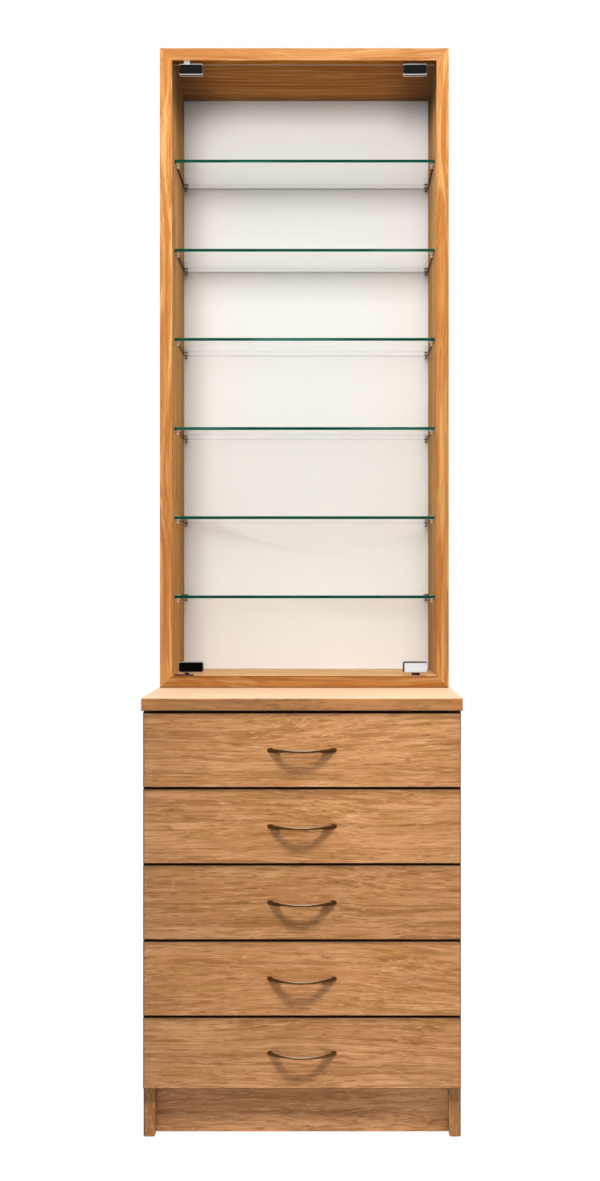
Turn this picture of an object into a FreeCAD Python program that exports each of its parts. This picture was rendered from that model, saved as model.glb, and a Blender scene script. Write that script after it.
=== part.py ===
import FreeCAD, Part
import math
import os

from FreeCAD import Vector

# Tall display cabinet: a glazed case standing on a chest of five drawers. Millimetres, +Z up,
# front towards -Y, right towards +X. The origin is on the floor, midway between the handles' foremost
# point and the back, and midway between the sides.

# Chest carcass
CHEST_WIDTH = 597.0
CHEST_HEIGHT = 803.5
CHEST_BOARD = 22.0
FOOT_CORNER_RADIUS = 4.0
PLINTH_HEIGHT = 100.0
PLINTH_RECESS = 24.0
PLINTH_THICKNESS = 18.0
RAIL_DEPTH = 90.0
RAIL_THICKNESS = 18.0

# Worktop
WORKTOP_SIDE_OVERHANG = 1.5
WORKTOP_DEPTH = 500.0
WORKTOP_THICKNESS = 23.0
BOARD_EDGE_RADIUS = 1.5

# Back panels, slid into grooves
BACK_PANEL = 4.0
BACK_PANEL_RECESS = 10.0
GROOVE_DEPTH = 8.0
GROOVE_END_GAP = 1.0

# Edges nearer than this to a plane count as lying in it
SAME_PLACE = 1e-4

# Small rods that repeat in large numbers have this many flat faces instead of a round one
SMALL_ROD_FACE_COUNT = 8

# Display case
CASE_SIDE_STEP = 2.0
CASE_HEIGHT = 1313.5
CASE_DEPTH = 246.0
CASE_BOARD = 25.0

# Screws from below that hold the case on the worktop
CASE_SCREW_DIAMETER = 4.5
CASE_SCREW_HEAD_DIAMETER = 9.0
CASE_SCREW_HEAD_HEIGHT = 2.5
CASE_SCREW_BITE = 16.0
CASE_SCREW_INSET_X = 70.0
CASE_SCREW_INSET_Y = 45.0

# Glass shelves
SHELF_COUNT = 6
LOW_SHELF_COUNT = 2
LOW_SHELF_SPACING = 164.7
SHELF_SPACING = 185.4
SHELF_GLASS = 6.0
SHELF_SIDE_GAP = 1.0
SHELF_FRONT_SETBACK = 36.0
SHELF_BACK_GAP = 3.0

# Clip supports of the shelves
SUPPORT_REACH = 11.0
SUPPORT_LENGTH = 12.0
SUPPORT_LOWER_JAW = 3.5
SUPPORT_UPPER_JAW = 2.0
SUPPORT_PIN_DIAMETER = 5.0
SUPPORT_PIN_LENGTH = 9.0
SUPPORT_PIN_CLEARANCE = 0.05
SUPPORT_SCREW_DIAMETER = 8.0
SUPPORT_SCREW_HEIGHT = 5.0
SUPPORT_EDGE_INSET = 14.0

# Glass door
DOOR_GLASS = 5.0
DOOR_INSET = 3.0
DOOR_SIDE_GAP = 4.0
DOOR_END_GAP = 7.5
DOOR_EDGE_CHAMFER = 0.6

# Metal clips on the door glass
CLIP_WIDTH = 49.5
CLIP_HEIGHT = 22.5
CLIP_FRONT_PLATE = 2.5
CLIP_BACK_PLATE = 4.0
CLIP_BRIDGE = 1.0
CLIP_CORNER_CUT = 2.5
CLIP_BEVEL = 1.5
HINGE_CLIP_INSET = 13.8
STRIKE_CLIP_INSET = 19.3

# Pivots of the door
PIVOT_INSET = 30.0
PIVOT_PIN_DIAMETER = 6.0
PIVOT_RUNNING_CLEARANCE = 0.05
PIVOT_PIN_BITE = 7.0
BUSH_DIAMETER = 10.0
BUSH_DEPTH = 9.0
BUSH_COLLAR_DIAMETER = 12.5
BUSH_CLIP_GAP = 0.8
BASE_PLATE_INSET = 3.9
BASE_PLATE_WIDTH = 38.8
BASE_PLATE_SETBACK = 0.5
BASE_PLATE_THICKNESS = 3.0
BASE_PLATE_CORNER_RADIUS = 2.0
THRUST_COLLAR_DIAMETER = 9.5
THRUST_GAP = 0.2

# Magnetic catches behind the strike clips
CATCH_WIDTH_TOP = 33.5
CATCH_WIDTH_BOTTOM = 16.8
CATCH_DEPTH = 12.5
CATCH_HEIGHT = 13.0
CATCH_CORNER_RADIUS = 2.5
CATCH_POLE_WIDTH = 3.0
CATCH_POLE_HEIGHT = 9.0
CATCH_POLE_STAND = 0.6
TOP_CATCH_POLE_COUNT = 3
BOTTOM_CATCH_POLE_COUNT = 2
CATCH_GAP = 0.2
CATCH_OFFSET_BOTTOM = 18.4

# Drawer fronts
DRAWER_COUNT = 5
FRONT_SIDE_REVEAL = 1.5
FRONT_THICKNESS = 18.0
FRONT_SETBACK = 5.0
FRONT_BUFFER_GAP = 1.5
FRONT_GAP = 3.2
FRONT_TOP_GAP = 4.3
FRONT_BOTTOM_OVERLAP = 2.6
LOWEST_FRONT_TRIM = 6.2

# Drawer boxes
BOX_BOARD = 15.0
BOX_FLOOR_GAP = 5.4
BOX_RAIL_GAP = 7.5
BOX_BOTTOM_PANEL = 4.0
BOX_BOTTOM_LIFT = 10.0
BOX_GROOVE_DEPTH = 6.0

# Ball-bearing slides
SLIDE_THICKNESS = 12.7
SLIDE_SHEET = 1.2
SLIDE_HEIGHT = 45.0
SLIDE_FRONT_GAP = 2.0
SLIDE_BACK_GAP = 15.5
SLIDE_FLANGE = 10.4
SLIDE_NEST = 2.0
SLIDE_BALL_SPACE = 3.8
SLIDE_LIP = 1.4
SLIDE_BEND = 2.0
CAGE_SHARE = 0.45
CAGE_WIDTH = 3.6
CAGE_CLEARANCE = 0.2

# Bow handles
HANDLE_LENGTH = 131.0
HANDLE_PROJECTION = 33.0
HANDLE_BAR_HEIGHT = 6.6
HANDLE_BAR_THICKNESS = 5.0
HANDLE_END_HEIGHT = 10.0
HANDLE_END_THICKNESS = 7.5
HANDLE_STATION_COUNT = 13
HANDLE_FLARE_POWER = 4
HANDLE_SECTION_QUARTER = ((1.0, 0.4), (0.8, 0.8), (0.4, 1.0))

# Sizes and places that follow
WORKTOP_WIDTH = CHEST_WIDTH + 2 * WORKTOP_SIDE_OVERHANG
CASE_WIDTH = CHEST_WIDTH - 2 * CASE_SIDE_STEP
FRONT_WIDTH = CHEST_WIDTH - 2 * FRONT_SIDE_REVEAL
OVERALL_DEPTH = WORKTOP_DEPTH - FRONT_SETBACK + HANDLE_PROJECTION
BACK_Y = OVERALL_DEPTH / 2
WORKTOP_FRONT_Y = BACK_Y - WORKTOP_DEPTH
WORKTOP_TOP_Z = CHEST_HEIGHT + WORKTOP_THICKNESS
FRONT_FACE_Y = WORKTOP_FRONT_Y + FRONT_SETBACK
FRONT_BACK_Y = FRONT_FACE_Y + FRONT_THICKNESS
CHEST_FRONT_Y = FRONT_BACK_Y + FRONT_BUFFER_GAP
CHEST_INNER_X = CHEST_WIDTH / 2 - CHEST_BOARD
PANEL_FACE_Y = BACK_Y - BACK_PANEL_RECESS - BACK_PANEL
CHEST_FLOOR_Z = PLINTH_HEIGHT + CHEST_BOARD

CASE_FRONT_Y = BACK_Y - CASE_DEPTH
CASE_BOTTOM_Z = WORKTOP_TOP_Z
CASE_TOP_Z = CASE_BOTTOM_Z + CASE_HEIGHT
CASE_INNER_X = CASE_WIDTH / 2 - CASE_BOARD
CASE_FLOOR_Z = CASE_BOTTOM_Z + CASE_BOARD
CASE_CEILING_Z = CASE_TOP_Z - CASE_BOARD

GLASS_FRONT_Y = CASE_FRONT_Y + DOOR_INSET
GLASS_BACK_Y = GLASS_FRONT_Y + DOOR_GLASS
GLASS_BOTTOM_Z = CASE_FLOOR_Z + DOOR_END_GAP
GLASS_TOP_Z = CASE_CEILING_Z - DOOR_END_GAP
CLIP_BACK_Y = GLASS_BACK_Y + CLIP_BACK_PLATE
CLIP_TOP_Z = GLASS_TOP_Z + CLIP_BRIDGE
CLIP_BOTTOM_Z = GLASS_BOTTOM_Z - CLIP_BRIDGE
PIVOT_X = -CASE_INNER_X + PIVOT_INSET
PIVOT_Y = (GLASS_FRONT_Y + GLASS_BACK_Y) / 2
PIVOT_BORE_RADIUS = PIVOT_PIN_DIAMETER / 2 + PIVOT_RUNNING_CLEARANCE

FRONT_ZONE_TOP_Z = CHEST_HEIGHT - FRONT_TOP_GAP
FRONT_ZONE_BOTTOM_Z = PLINTH_HEIGHT - FRONT_BOTTOM_OVERLAP
FRONT_ZONE = FRONT_ZONE_TOP_Z - FRONT_ZONE_BOTTOM_Z
FRONT_HEIGHT = (FRONT_ZONE - (DRAWER_COUNT - 1) * FRONT_GAP + LOWEST_FRONT_TRIM) / DRAWER_COUNT

BOX_LIFT = CHEST_FLOOR_Z + BOX_FLOOR_GAP - FRONT_ZONE_BOTTOM_Z
BOX_TOP_Z = CHEST_HEIGHT - RAIL_THICKNESS - BOX_RAIL_GAP
BOX_HEIGHT = BOX_TOP_Z - (FRONT_ZONE_TOP_Z - FRONT_HEIGHT + BOX_LIFT)
BOX_OUTER_X = CHEST_INNER_X - SLIDE_THICKNESS
BOX_INNER_X = BOX_OUTER_X - BOX_BOARD

SLIDE_FRONT_Y = CHEST_FRONT_Y + SLIDE_FRONT_GAP
SLIDE_LENGTH = PANEL_FACE_Y - SLIDE_BACK_GAP - SLIDE_FRONT_Y
SLIDE_BACK_Y = SLIDE_FRONT_Y + SLIDE_LENGTH
MIDDLE_HEIGHT = SLIDE_HEIGHT - 2 * (SLIDE_SHEET + SLIDE_BALL_SPACE)
INNER_HEIGHT = MIDDLE_HEIGHT - 2 * (SLIDE_SHEET + SLIDE_BALL_SPACE)


def block(x, y, z):
    """A box from its (low, high) pairs."""
    corner = Vector(x[0], y[0], z[0])
    return Part.makeBox(x[1] - x[0], y[1] - y[0], z[1] - z[0], corner)


def upright_prism(points, y):
    """A solid from an outline given as (x, z) points, run from y[0] to y[1]."""
    corners = [Vector(px, y[0], pz) for px, pz in points]
    face = Part.Face(Part.makePolygon(corners + corners[:1]))
    return face.extrude(Vector(0, y[1] - y[0], 0))


def rod(diameter, x, y, z):
    """An upright cylinder between two heights."""
    return Part.makeCylinder(diameter / 2, z[1] - z[0], Vector(x, y, z[0]))


def faceted_rod(diameter, start, along):
    """A small rod with a few flat faces, for what repeats in large numbers."""
    side = Vector(0, 1, 0)
    third = side.cross(along).normalize()
    corners = []
    for number in range(SMALL_ROD_FACE_COUNT):
        turn = 2 * math.pi * (number + 0.5) / SMALL_ROD_FACE_COUNT
        corners.append(start + (side * math.cos(turn) + third * math.sin(turn)) * (diameter / 2))
    return Part.Face(Part.makePolygon(corners + corners[:1])).extrude(along)


def edges_in_plane(solid, axis, level):
    """The edges of a solid that lie wholly at one level of one axis."""
    found = []
    for edge in solid.Edges:
        box = edge.BoundBox
        low = (box.XMin, box.YMin, box.ZMin)[axis]
        high = (box.XMax, box.YMax, box.ZMax)[axis]
        if abs(low - level) < SAME_PLACE and abs(high - level) < SAME_PLACE:
            found.append(edge)
    return found


def mirrored_in_x(shape):
    """The same piece on the other side."""
    return shape.mirror(Vector(0, 0, 0), Vector(1, 0, 0))


# Display case


def case_back():
    reach = GROOVE_DEPTH - GROOVE_END_GAP
    x = CASE_INNER_X + reach
    z = (CASE_FLOOR_Z - reach, CASE_CEILING_Z + reach)
    return block((-x, x), (PANEL_FACE_Y, PANEL_FACE_Y + BACK_PANEL), z)


def case_back_groove():
    x = CASE_INNER_X + GROOVE_DEPTH
    z = (CASE_FLOOR_Z - GROOVE_DEPTH, CASE_CEILING_Z + GROOVE_DEPTH)
    return block((-x, x), (PANEL_FACE_Y, PANEL_FACE_Y + BACK_PANEL), z)


def case_board(points):
    """One mitred board of the case, grooved for the back panel."""
    return upright_prism(points, (CASE_FRONT_Y, BACK_Y)).cut(case_back_groove())


def case_side_left():
    outer = CASE_WIDTH / 2
    board = case_board(
        [
            (-outer, CASE_BOTTOM_Z),
            (-CASE_INNER_X, CASE_FLOOR_Z),
            (-CASE_INNER_X, CASE_CEILING_Z),
            (-outer, CASE_TOP_Z),
        ]
    )
    holes = [support_pin(y, z, SUPPORT_PIN_CLEARANCE) for y in support_rows() for z in shelf_levels()]
    return board.cut(Part.makeCompound(holes))


def case_top():
    outer = CASE_WIDTH / 2
    board = case_board(
        [
            (-outer, CASE_TOP_Z),
            (-CASE_INNER_X, CASE_CEILING_Z),
            (CASE_INNER_X, CASE_CEILING_Z),
            (outer, CASE_TOP_Z),
        ]
    )
    socket = (CASE_CEILING_Z, CASE_CEILING_Z + BUSH_DEPTH)
    return board.cut(rod(BUSH_DIAMETER, PIVOT_X, PIVOT_Y, socket))


def case_bottom():
    outer = CASE_WIDTH / 2
    board = case_board(
        [
            (-outer, CASE_BOTTOM_Z),
            (outer, CASE_BOTTOM_Z),
            (CASE_INNER_X, CASE_FLOOR_Z),
            (-CASE_INNER_X, CASE_FLOOR_Z),
        ]
    )
    socket = (CASE_FLOOR_Z - BUSH_DEPTH, CASE_FLOOR_Z)
    board = board.cut(rod(BUSH_DIAMETER, PIVOT_X, PIVOT_Y, socket))
    return board.cut(case_screws())


# Glass shelves and their supports


def shelf_levels():
    """Heights of the top faces of the shelves, from the lowest up."""
    levels = []
    level = CASE_FLOOR_Z
    for number in range(SHELF_COUNT):
        level += LOW_SHELF_SPACING if number < LOW_SHELF_COUNT else SHELF_SPACING
        levels.append(level)
    return levels


def shelf_depth_range():
    return (CASE_FRONT_Y + SHELF_FRONT_SETBACK, PANEL_FACE_Y - SHELF_BACK_GAP)


def glass_shelf(level):
    x = CASE_INNER_X - SHELF_SIDE_GAP
    return block((-x, x), shelf_depth_range(), (level - SHELF_GLASS, level))


def support_rows():
    """The places, front and back, of the supports under a shelf."""
    front, back = shelf_depth_range()
    return (front + SUPPORT_EDGE_INSET, back - SUPPORT_EDGE_INSET)


def support_pin(y, level, clearance=0.0):
    """The pin of a left support, or with a clearance the hole for it."""
    length = SUPPORT_PIN_LENGTH + clearance
    start = Vector(-CASE_INNER_X - length, y, level - SHELF_GLASS / 2)
    return faceted_rod(SUPPORT_PIN_DIAMETER + 2 * clearance, start, Vector(length, 0, 0))


def shelf_support(y, level):
    """A left support: two jaws joined at the wall, a pin behind and a clamp screw below."""
    wall = -CASE_INNER_X
    span = (y - SUPPORT_LENGTH / 2, y + SUPPORT_LENGTH / 2)
    lower = level - SHELF_GLASS - SUPPORT_LOWER_JAW
    clip = block((wall, wall + SUPPORT_REACH), span, (lower, level + SUPPORT_UPPER_JAW))
    mouth = block((wall + SHELF_SIDE_GAP, wall + SUPPORT_REACH), span, (level - SHELF_GLASS, level))
    middle = wall + (SHELF_SIDE_GAP + SUPPORT_REACH) / 2
    head = Vector(middle, y, lower - SUPPORT_SCREW_HEIGHT)
    screw = faceted_rod(SUPPORT_SCREW_DIAMETER, head, Vector(0, 0, SUPPORT_SCREW_HEIGHT))
    return clip.cut(mouth).fuse([support_pin(y, level), screw]).removeSplitter()


def shelf_supports():
    left = [shelf_support(y, level) for level in shelf_levels() for y in support_rows()]
    return Part.makeCompound(left + [mirrored_in_x(support) for support in left])


# Glass door


def door_glass():
    x = CASE_INNER_X - DOOR_SIDE_GAP
    pane = block((-x, x), (GLASS_FRONT_Y, GLASS_BACK_Y), (GLASS_BOTTOM_Z, GLASS_TOP_Z))
    ground = edges_in_plane(pane, 1, GLASS_FRONT_Y) + edges_in_plane(pane, 1, GLASS_BACK_Y)
    return pane.makeChamfer(DOOR_EDGE_CHAMFER, ground)


def glass_clip(left, at_top):
    """A metal clip over the upper or lower edge of the glass, from its left end."""
    low = CLIP_TOP_Z - CLIP_HEIGHT if at_top else CLIP_BOTTOM_Z
    front = GLASS_FRONT_Y - CLIP_FRONT_PLATE
    solid = block((left, left + CLIP_WIDTH), (front, CLIP_BACK_Y), (low, low + CLIP_HEIGHT))
    along_depth = [e for e in solid.Edges if e.BoundBox.YLength > CLIP_FRONT_PLATE]
    solid = solid.makeChamfer(CLIP_CORNER_CUT, along_depth)
    solid = solid.makeChamfer(CLIP_BEVEL, edges_in_plane(solid, 1, front))
    slot_z = (low, GLASS_TOP_Z) if at_top else (GLASS_BOTTOM_Z, low + CLIP_HEIGHT)
    return solid.cut(block((left, left + CLIP_WIDTH), (GLASS_FRONT_Y, GLASS_BACK_Y), slot_z))


def hinge_clamp_top():
    clip = glass_clip(-CASE_INNER_X + HINGE_CLIP_INSET, True)
    pin = rod(PIVOT_PIN_DIAMETER, PIVOT_X, PIVOT_Y, (CLIP_TOP_Z, CASE_CEILING_Z + PIVOT_PIN_BITE))
    return clip.fuse(pin)


def hinge_clamp_bottom():
    clip = glass_clip(-CASE_INNER_X + HINGE_CLIP_INSET, False)
    pin = rod(PIVOT_PIN_DIAMETER, PIVOT_X, PIVOT_Y, (CASE_FLOOR_Z - PIVOT_PIN_BITE, CLIP_BOTTOM_Z))
    seat = CASE_FLOOR_Z + BASE_PLATE_THICKNESS + THRUST_GAP
    collar = rod(THRUST_COLLAR_DIAMETER, PIVOT_X, PIVOT_Y, (seat, CLIP_BOTTOM_Z))
    return clip.fuse([pin, collar]).removeSplitter()


def strike_clip(at_top):
    return glass_clip(CASE_INNER_X - STRIKE_CLIP_INSET - CLIP_WIDTH, at_top)


def hinge_bush_top():
    """A bush in the top board, with a collar that hangs down towards the clamp."""
    sleeve = rod(BUSH_DIAMETER, PIVOT_X, PIVOT_Y, (CASE_CEILING_Z, CASE_CEILING_Z + BUSH_DEPTH))
    collar = rod(BUSH_COLLAR_DIAMETER, PIVOT_X, PIVOT_Y, (CLIP_TOP_Z + BUSH_CLIP_GAP, CASE_CEILING_Z))
    bore = rod(2 * PIVOT_BORE_RADIUS, PIVOT_X, PIVOT_Y, (CLIP_TOP_Z, CASE_CEILING_Z + BUSH_DEPTH))
    return sleeve.fuse(collar).cut(bore)


def hinge_base_bottom():
    """A base plate on the bottom board with a bush below it, bored for the pin."""
    left = -CASE_INNER_X + BASE_PLATE_INSET
    front = CASE_FRONT_Y + BASE_PLATE_SETBACK
    depth = 2 * (PIVOT_Y - front)
    top = CASE_FLOOR_Z + BASE_PLATE_THICKNESS
    plate = block((left, left + BASE_PLATE_WIDTH), (front, front + depth), (CASE_FLOOR_Z, top))
    upright = [e for e in plate.Edges if e.BoundBox.ZLength > BASE_PLATE_THICKNESS / 2]
    plate = plate.makeFillet(BASE_PLATE_CORNER_RADIUS, upright)
    sleeve = rod(BUSH_DIAMETER, PIVOT_X, PIVOT_Y, (CASE_FLOOR_Z - BUSH_DEPTH, CASE_FLOOR_Z))
    bore = rod(2 * PIVOT_BORE_RADIUS, PIVOT_X, PIVOT_Y, (CASE_FLOOR_Z - BUSH_DEPTH, top))
    return plate.fuse(sleeve).cut(bore)


def magnetic_catch(x, base, outward, poles):
    """A catch body on the board at height base, reaching outward, with steel poles on its front."""
    front = CLIP_BACK_Y + CATCH_GAP + CATCH_POLE_STAND
    z = sorted((base, base + outward * CATCH_HEIGHT))
    body = block(x, (front, front + CATCH_DEPTH), z)
    free_edges = [e for e in edges_in_plane(body, 2, base + outward * CATCH_HEIGHT) if e.BoundBox.YLength > CATCH_DEPTH / 2]
    body = body.makeFillet(CATCH_CORNER_RADIUS, free_edges)
    pitch = (x[1] - x[0]) / (poles + 1)
    middle = base + outward * CATCH_HEIGHT / 2
    pole_z = (middle - CATCH_POLE_HEIGHT / 2, middle + CATCH_POLE_HEIGHT / 2)
    solids = [body]
    for number in range(poles):
        centre = x[0] + pitch * (number + 1)
        pole_x = (centre - CATCH_POLE_WIDTH / 2, centre + CATCH_POLE_WIDTH / 2)
        solids.append(block(pole_x, (front - CATCH_POLE_STAND, front), pole_z))
    return Part.makeCompound(solids)


def magnetic_catch_top():
    left = CASE_INNER_X - STRIKE_CLIP_INSET - CLIP_WIDTH
    return magnetic_catch((left, left + CATCH_WIDTH_TOP), CASE_CEILING_Z, -1, TOP_CATCH_POLE_COUNT)


def magnetic_catch_bottom():
    left = CASE_INNER_X - STRIKE_CLIP_INSET - CLIP_WIDTH + CATCH_OFFSET_BOTTOM
    return magnetic_catch((left, left + CATCH_WIDTH_BOTTOM), CASE_FLOOR_Z, 1, BOTTOM_CATCH_POLE_COUNT)


# Worktop and chest


def case_screws():
    """Four screws through the worktop into the case's bottom board, with sunk heads."""
    x = CASE_WIDTH / 2 - CASE_SCREW_INSET_X
    length = WORKTOP_THICKNESS + CASE_SCREW_BITE
    screws = []
    for sx in (-x, x):
        for sy in (CASE_FRONT_Y + CASE_SCREW_INSET_Y, BACK_Y - CASE_SCREW_INSET_Y):
            foot = Vector(sx, sy, CHEST_HEIGHT)
            head = faceted_rod(CASE_SCREW_HEAD_DIAMETER, foot, Vector(0, 0, CASE_SCREW_HEAD_HEIGHT))
            shank = faceted_rod(CASE_SCREW_DIAMETER, foot, Vector(0, 0, length))
            screws.append(head.fuse(shank))
    return Part.makeCompound(screws)


def worktop():
    x = WORKTOP_WIDTH / 2
    board = block((-x, x), (WORKTOP_FRONT_Y, BACK_Y), (CHEST_HEIGHT, WORKTOP_TOP_Z))
    eased = edges_in_plane(board, 1, WORKTOP_FRONT_Y)
    return board.makeFillet(BOARD_EDGE_RADIUS, eased).cut(case_screws())


def chest_back():
    reach = GROOVE_DEPTH - GROOVE_END_GAP
    x = CHEST_INNER_X + reach
    return block((-x, x), (PANEL_FACE_Y, PANEL_FACE_Y + BACK_PANEL), (PLINTH_HEIGHT, CHEST_HEIGHT))


def chest_side_left():
    x = (-CHEST_WIDTH / 2, -CHEST_INNER_X)
    board = block(x, (CHEST_FRONT_Y, BACK_Y), (0, CHEST_HEIGHT))
    lower = [e for e in edges_in_plane(board, 2, 0) if e.BoundBox.YLength > CHEST_BOARD]
    board = board.makeFillet(FOOT_CORNER_RADIUS, lower)
    groove_x = (-CHEST_INNER_X - GROOVE_DEPTH, -CHEST_INNER_X)
    groove_y = (PANEL_FACE_Y, PANEL_FACE_Y + BACK_PANEL)
    return board.cut(block(groove_x, groove_y, (PLINTH_HEIGHT, CHEST_HEIGHT)))


def chest_bottom():
    z = (PLINTH_HEIGHT, CHEST_FLOOR_Z)
    return block((-CHEST_INNER_X, CHEST_INNER_X), (CHEST_FRONT_Y, PANEL_FACE_Y), z)


def plinth_board():
    front = CHEST_FRONT_Y + PLINTH_RECESS
    y = (front, front + PLINTH_THICKNESS)
    return block((-CHEST_INNER_X, CHEST_INNER_X), y, (0, PLINTH_HEIGHT))


def top_rails():
    x = (-CHEST_INNER_X, CHEST_INNER_X)
    z = (CHEST_HEIGHT - RAIL_THICKNESS, CHEST_HEIGHT)
    front = block(x, (CHEST_FRONT_Y, CHEST_FRONT_Y + RAIL_DEPTH), z)
    rear = block(x, (PANEL_FACE_Y - RAIL_DEPTH, PANEL_FACE_Y), z)
    return Part.makeCompound([front, rear])


# Ball-bearing slides


def slide_centre(bottom):
    """Height of the middle of the slides of a drawer whose front starts at bottom."""
    return bottom + BOX_LIFT + BOX_HEIGHT / 2


def channel(web, flange_end, height, centre, lip):
    """A left sheet-metal channel whose web is at x = web and whose flanges end at x = flange_end."""
    inward = 1 if flange_end > web else -1
    half = height / 2
    y = (SLIDE_FRONT_Y, SLIDE_BACK_Y)
    outer = block(sorted((web, flange_end)), y, (centre - half, centre + half))
    bends = [e for e in edges_in_plane(outer, 0, web) if e.BoundBox.YLength > height]
    outer = outer.makeChamfer(SLIDE_BEND, bends)
    web_inside = web + inward * SLIDE_SHEET
    lip_inside = flange_end - inward * SLIDE_SHEET if lip else flange_end
    inside_z = (centre - half + SLIDE_SHEET, centre + half - SLIDE_SHEET)
    inside = block(sorted((web_inside, lip_inside)), y, inside_z)
    bends = [e for e in edges_in_plane(inside, 0, web_inside) if e.BoundBox.YLength > height]
    inside = inside.makeChamfer(SLIDE_BEND - SLIDE_SHEET * (2 - math.sqrt(2)), bends)
    member = outer.cut(inside)
    if lip:
        mouth_z = (inside_z[0] + lip, inside_z[1] - lip)
        member = member.cut(block(sorted((lip_inside, flange_end)), y, mouth_z))
    return member


def slide_outer_left(centre):
    wall = -CHEST_INNER_X
    return channel(wall, wall + SLIDE_FLANGE, SLIDE_HEIGHT, centre, SLIDE_LIP)


def slide_middle_left(centre):
    """The middle member with its four ball cages, two for each neighbour."""
    wall = -CHEST_INNER_X
    web = wall + SLIDE_NEST
    member = channel(web, web + SLIDE_FLANGE - SLIDE_SHEET, MIDDLE_HEIGHT, centre, 0)
    cage_length = CAGE_SHARE * SLIDE_LENGTH
    outward_y = (SLIDE_BACK_Y - cage_length, SLIDE_BACK_Y)
    inward_y = (SLIDE_FRONT_Y, SLIDE_FRONT_Y + cage_length)
    cage_left = web + SLIDE_BEND + SLIDE_SHEET
    cage_x = (cage_left, cage_left + CAGE_WIDTH)
    outer_face = MIDDLE_HEIGHT / 2
    inner_face = MIDDLE_HEIGHT / 2 - SLIDE_SHEET
    cages = []
    for side in (-1, 1):
        over = sorted(centre + side * h for h in (outer_face, outer_face + SLIDE_BALL_SPACE - CAGE_CLEARANCE))
        under = sorted(centre + side * h for h in (inner_face - SLIDE_BALL_SPACE + CAGE_CLEARANCE, inner_face))
        cages.append(block(cage_x, outward_y, over))
        cages.append(block(cage_x, inward_y, under))
    return [member] + cages


def slide_inner_left(centre):
    web = -BOX_OUTER_X
    return channel(web, web - SLIDE_FLANGE + SLIDE_NEST, INNER_HEIGHT, centre, 0)


def both_sides(solids):
    return Part.makeCompound(solids + [mirrored_in_x(solid) for solid in solids])


# Drawers


def drawer_front(bottom, height):
    x = FRONT_WIDTH / 2
    panel = block((-x, x), (FRONT_FACE_Y, FRONT_BACK_Y), (bottom, bottom + height))
    return panel.makeFillet(BOARD_EDGE_RADIUS, edges_in_plane(panel, 1, FRONT_FACE_Y))


def drawer_bottom(bottom):
    x = BOX_INNER_X + BOX_GROOVE_DEPTH
    y = (FRONT_BACK_Y + BOX_BOARD - BOX_GROOVE_DEPTH, SLIDE_BACK_Y - BOX_BOARD + BOX_GROOVE_DEPTH)
    low = bottom + BOX_LIFT + BOX_BOTTOM_LIFT
    return block((-x, x), y, (low, low + BOX_BOTTOM_PANEL))


def drawer_box(bottom):
    """Two sides, an inner front and a back, grooved for the bottom panel."""
    z = (bottom + BOX_LIFT, bottom + BOX_LIFT + BOX_HEIGHT)
    y = (FRONT_BACK_Y, SLIDE_BACK_Y)
    across = (-BOX_INNER_X, BOX_INNER_X)
    walls = [
        block((-BOX_OUTER_X, -BOX_INNER_X), y, z),
        block((BOX_INNER_X, BOX_OUTER_X), y, z),
        block(across, (y[0], y[0] + BOX_BOARD), z),
        block(across, (y[1] - BOX_BOARD, y[1]), z),
    ]
    panel = drawer_bottom(bottom)
    return Part.makeCompound([wall.cut(panel) for wall in walls])


def handle_section(middle, outward, thickness, height):
    """The closed outline of the bar at one station: a flat bar with eased corners."""
    corners = []
    for out, up in ((1, 1), (-1, 1), (-1, -1), (1, -1)):
        quarter = HANDLE_SECTION_QUARTER if out == up else HANDLE_SECTION_QUARTER[::-1]
        for share_out, share_up in quarter:
            side = outward * (out * share_out * thickness / 2)
            corners.append(middle + side + Vector(0, 0, up * share_up * height / 2))
    return Part.makePolygon(corners + corners[:1])


def bow_handle(centre):
    """A bar that follows an arc out from the drawer front and back, wider at both ends."""
    rise = HANDLE_PROJECTION - HANDLE_BAR_THICKNESS / 2
    half_end = HANDLE_END_THICKNESS / 2
    radius = ((HANDLE_LENGTH / 2) ** 2 + rise**2 - half_end**2) / (2 * (rise + half_end))
    pole_y = FRONT_FACE_Y - rise + radius
    face_angle = math.acos((radius - rise) / (radius + half_end))
    last_angle = face_angle + HANDLE_END_THICKNESS / radius
    sections = []
    for number in range(HANDLE_STATION_COUNT):
        angle = last_angle * (2 * number / (HANDLE_STATION_COUNT - 1) - 1)
        flare = min(abs(angle) / face_angle, 1) ** HANDLE_FLARE_POWER
        height = HANDLE_BAR_HEIGHT + flare * (HANDLE_END_HEIGHT - HANDLE_BAR_HEIGHT)
        thickness = HANDLE_BAR_THICKNESS + flare * (HANDLE_END_THICKNESS - HANDLE_BAR_THICKNESS)
        outward = Vector(math.sin(angle), -math.cos(angle), 0)
        middle = outward * radius + Vector(0, pole_y, centre)
        sections.append(handle_section(middle, outward, thickness, height))
    bar = Part.makeLoft(sections, True, True)
    space = block(
        (-HANDLE_LENGTH, HANDLE_LENGTH),
        (FRONT_FACE_Y - 2 * HANDLE_PROJECTION, FRONT_FACE_Y),
        (centre - HANDLE_END_HEIGHT, centre + HANDLE_END_HEIGHT),
    )
    return bar.common(space)


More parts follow.
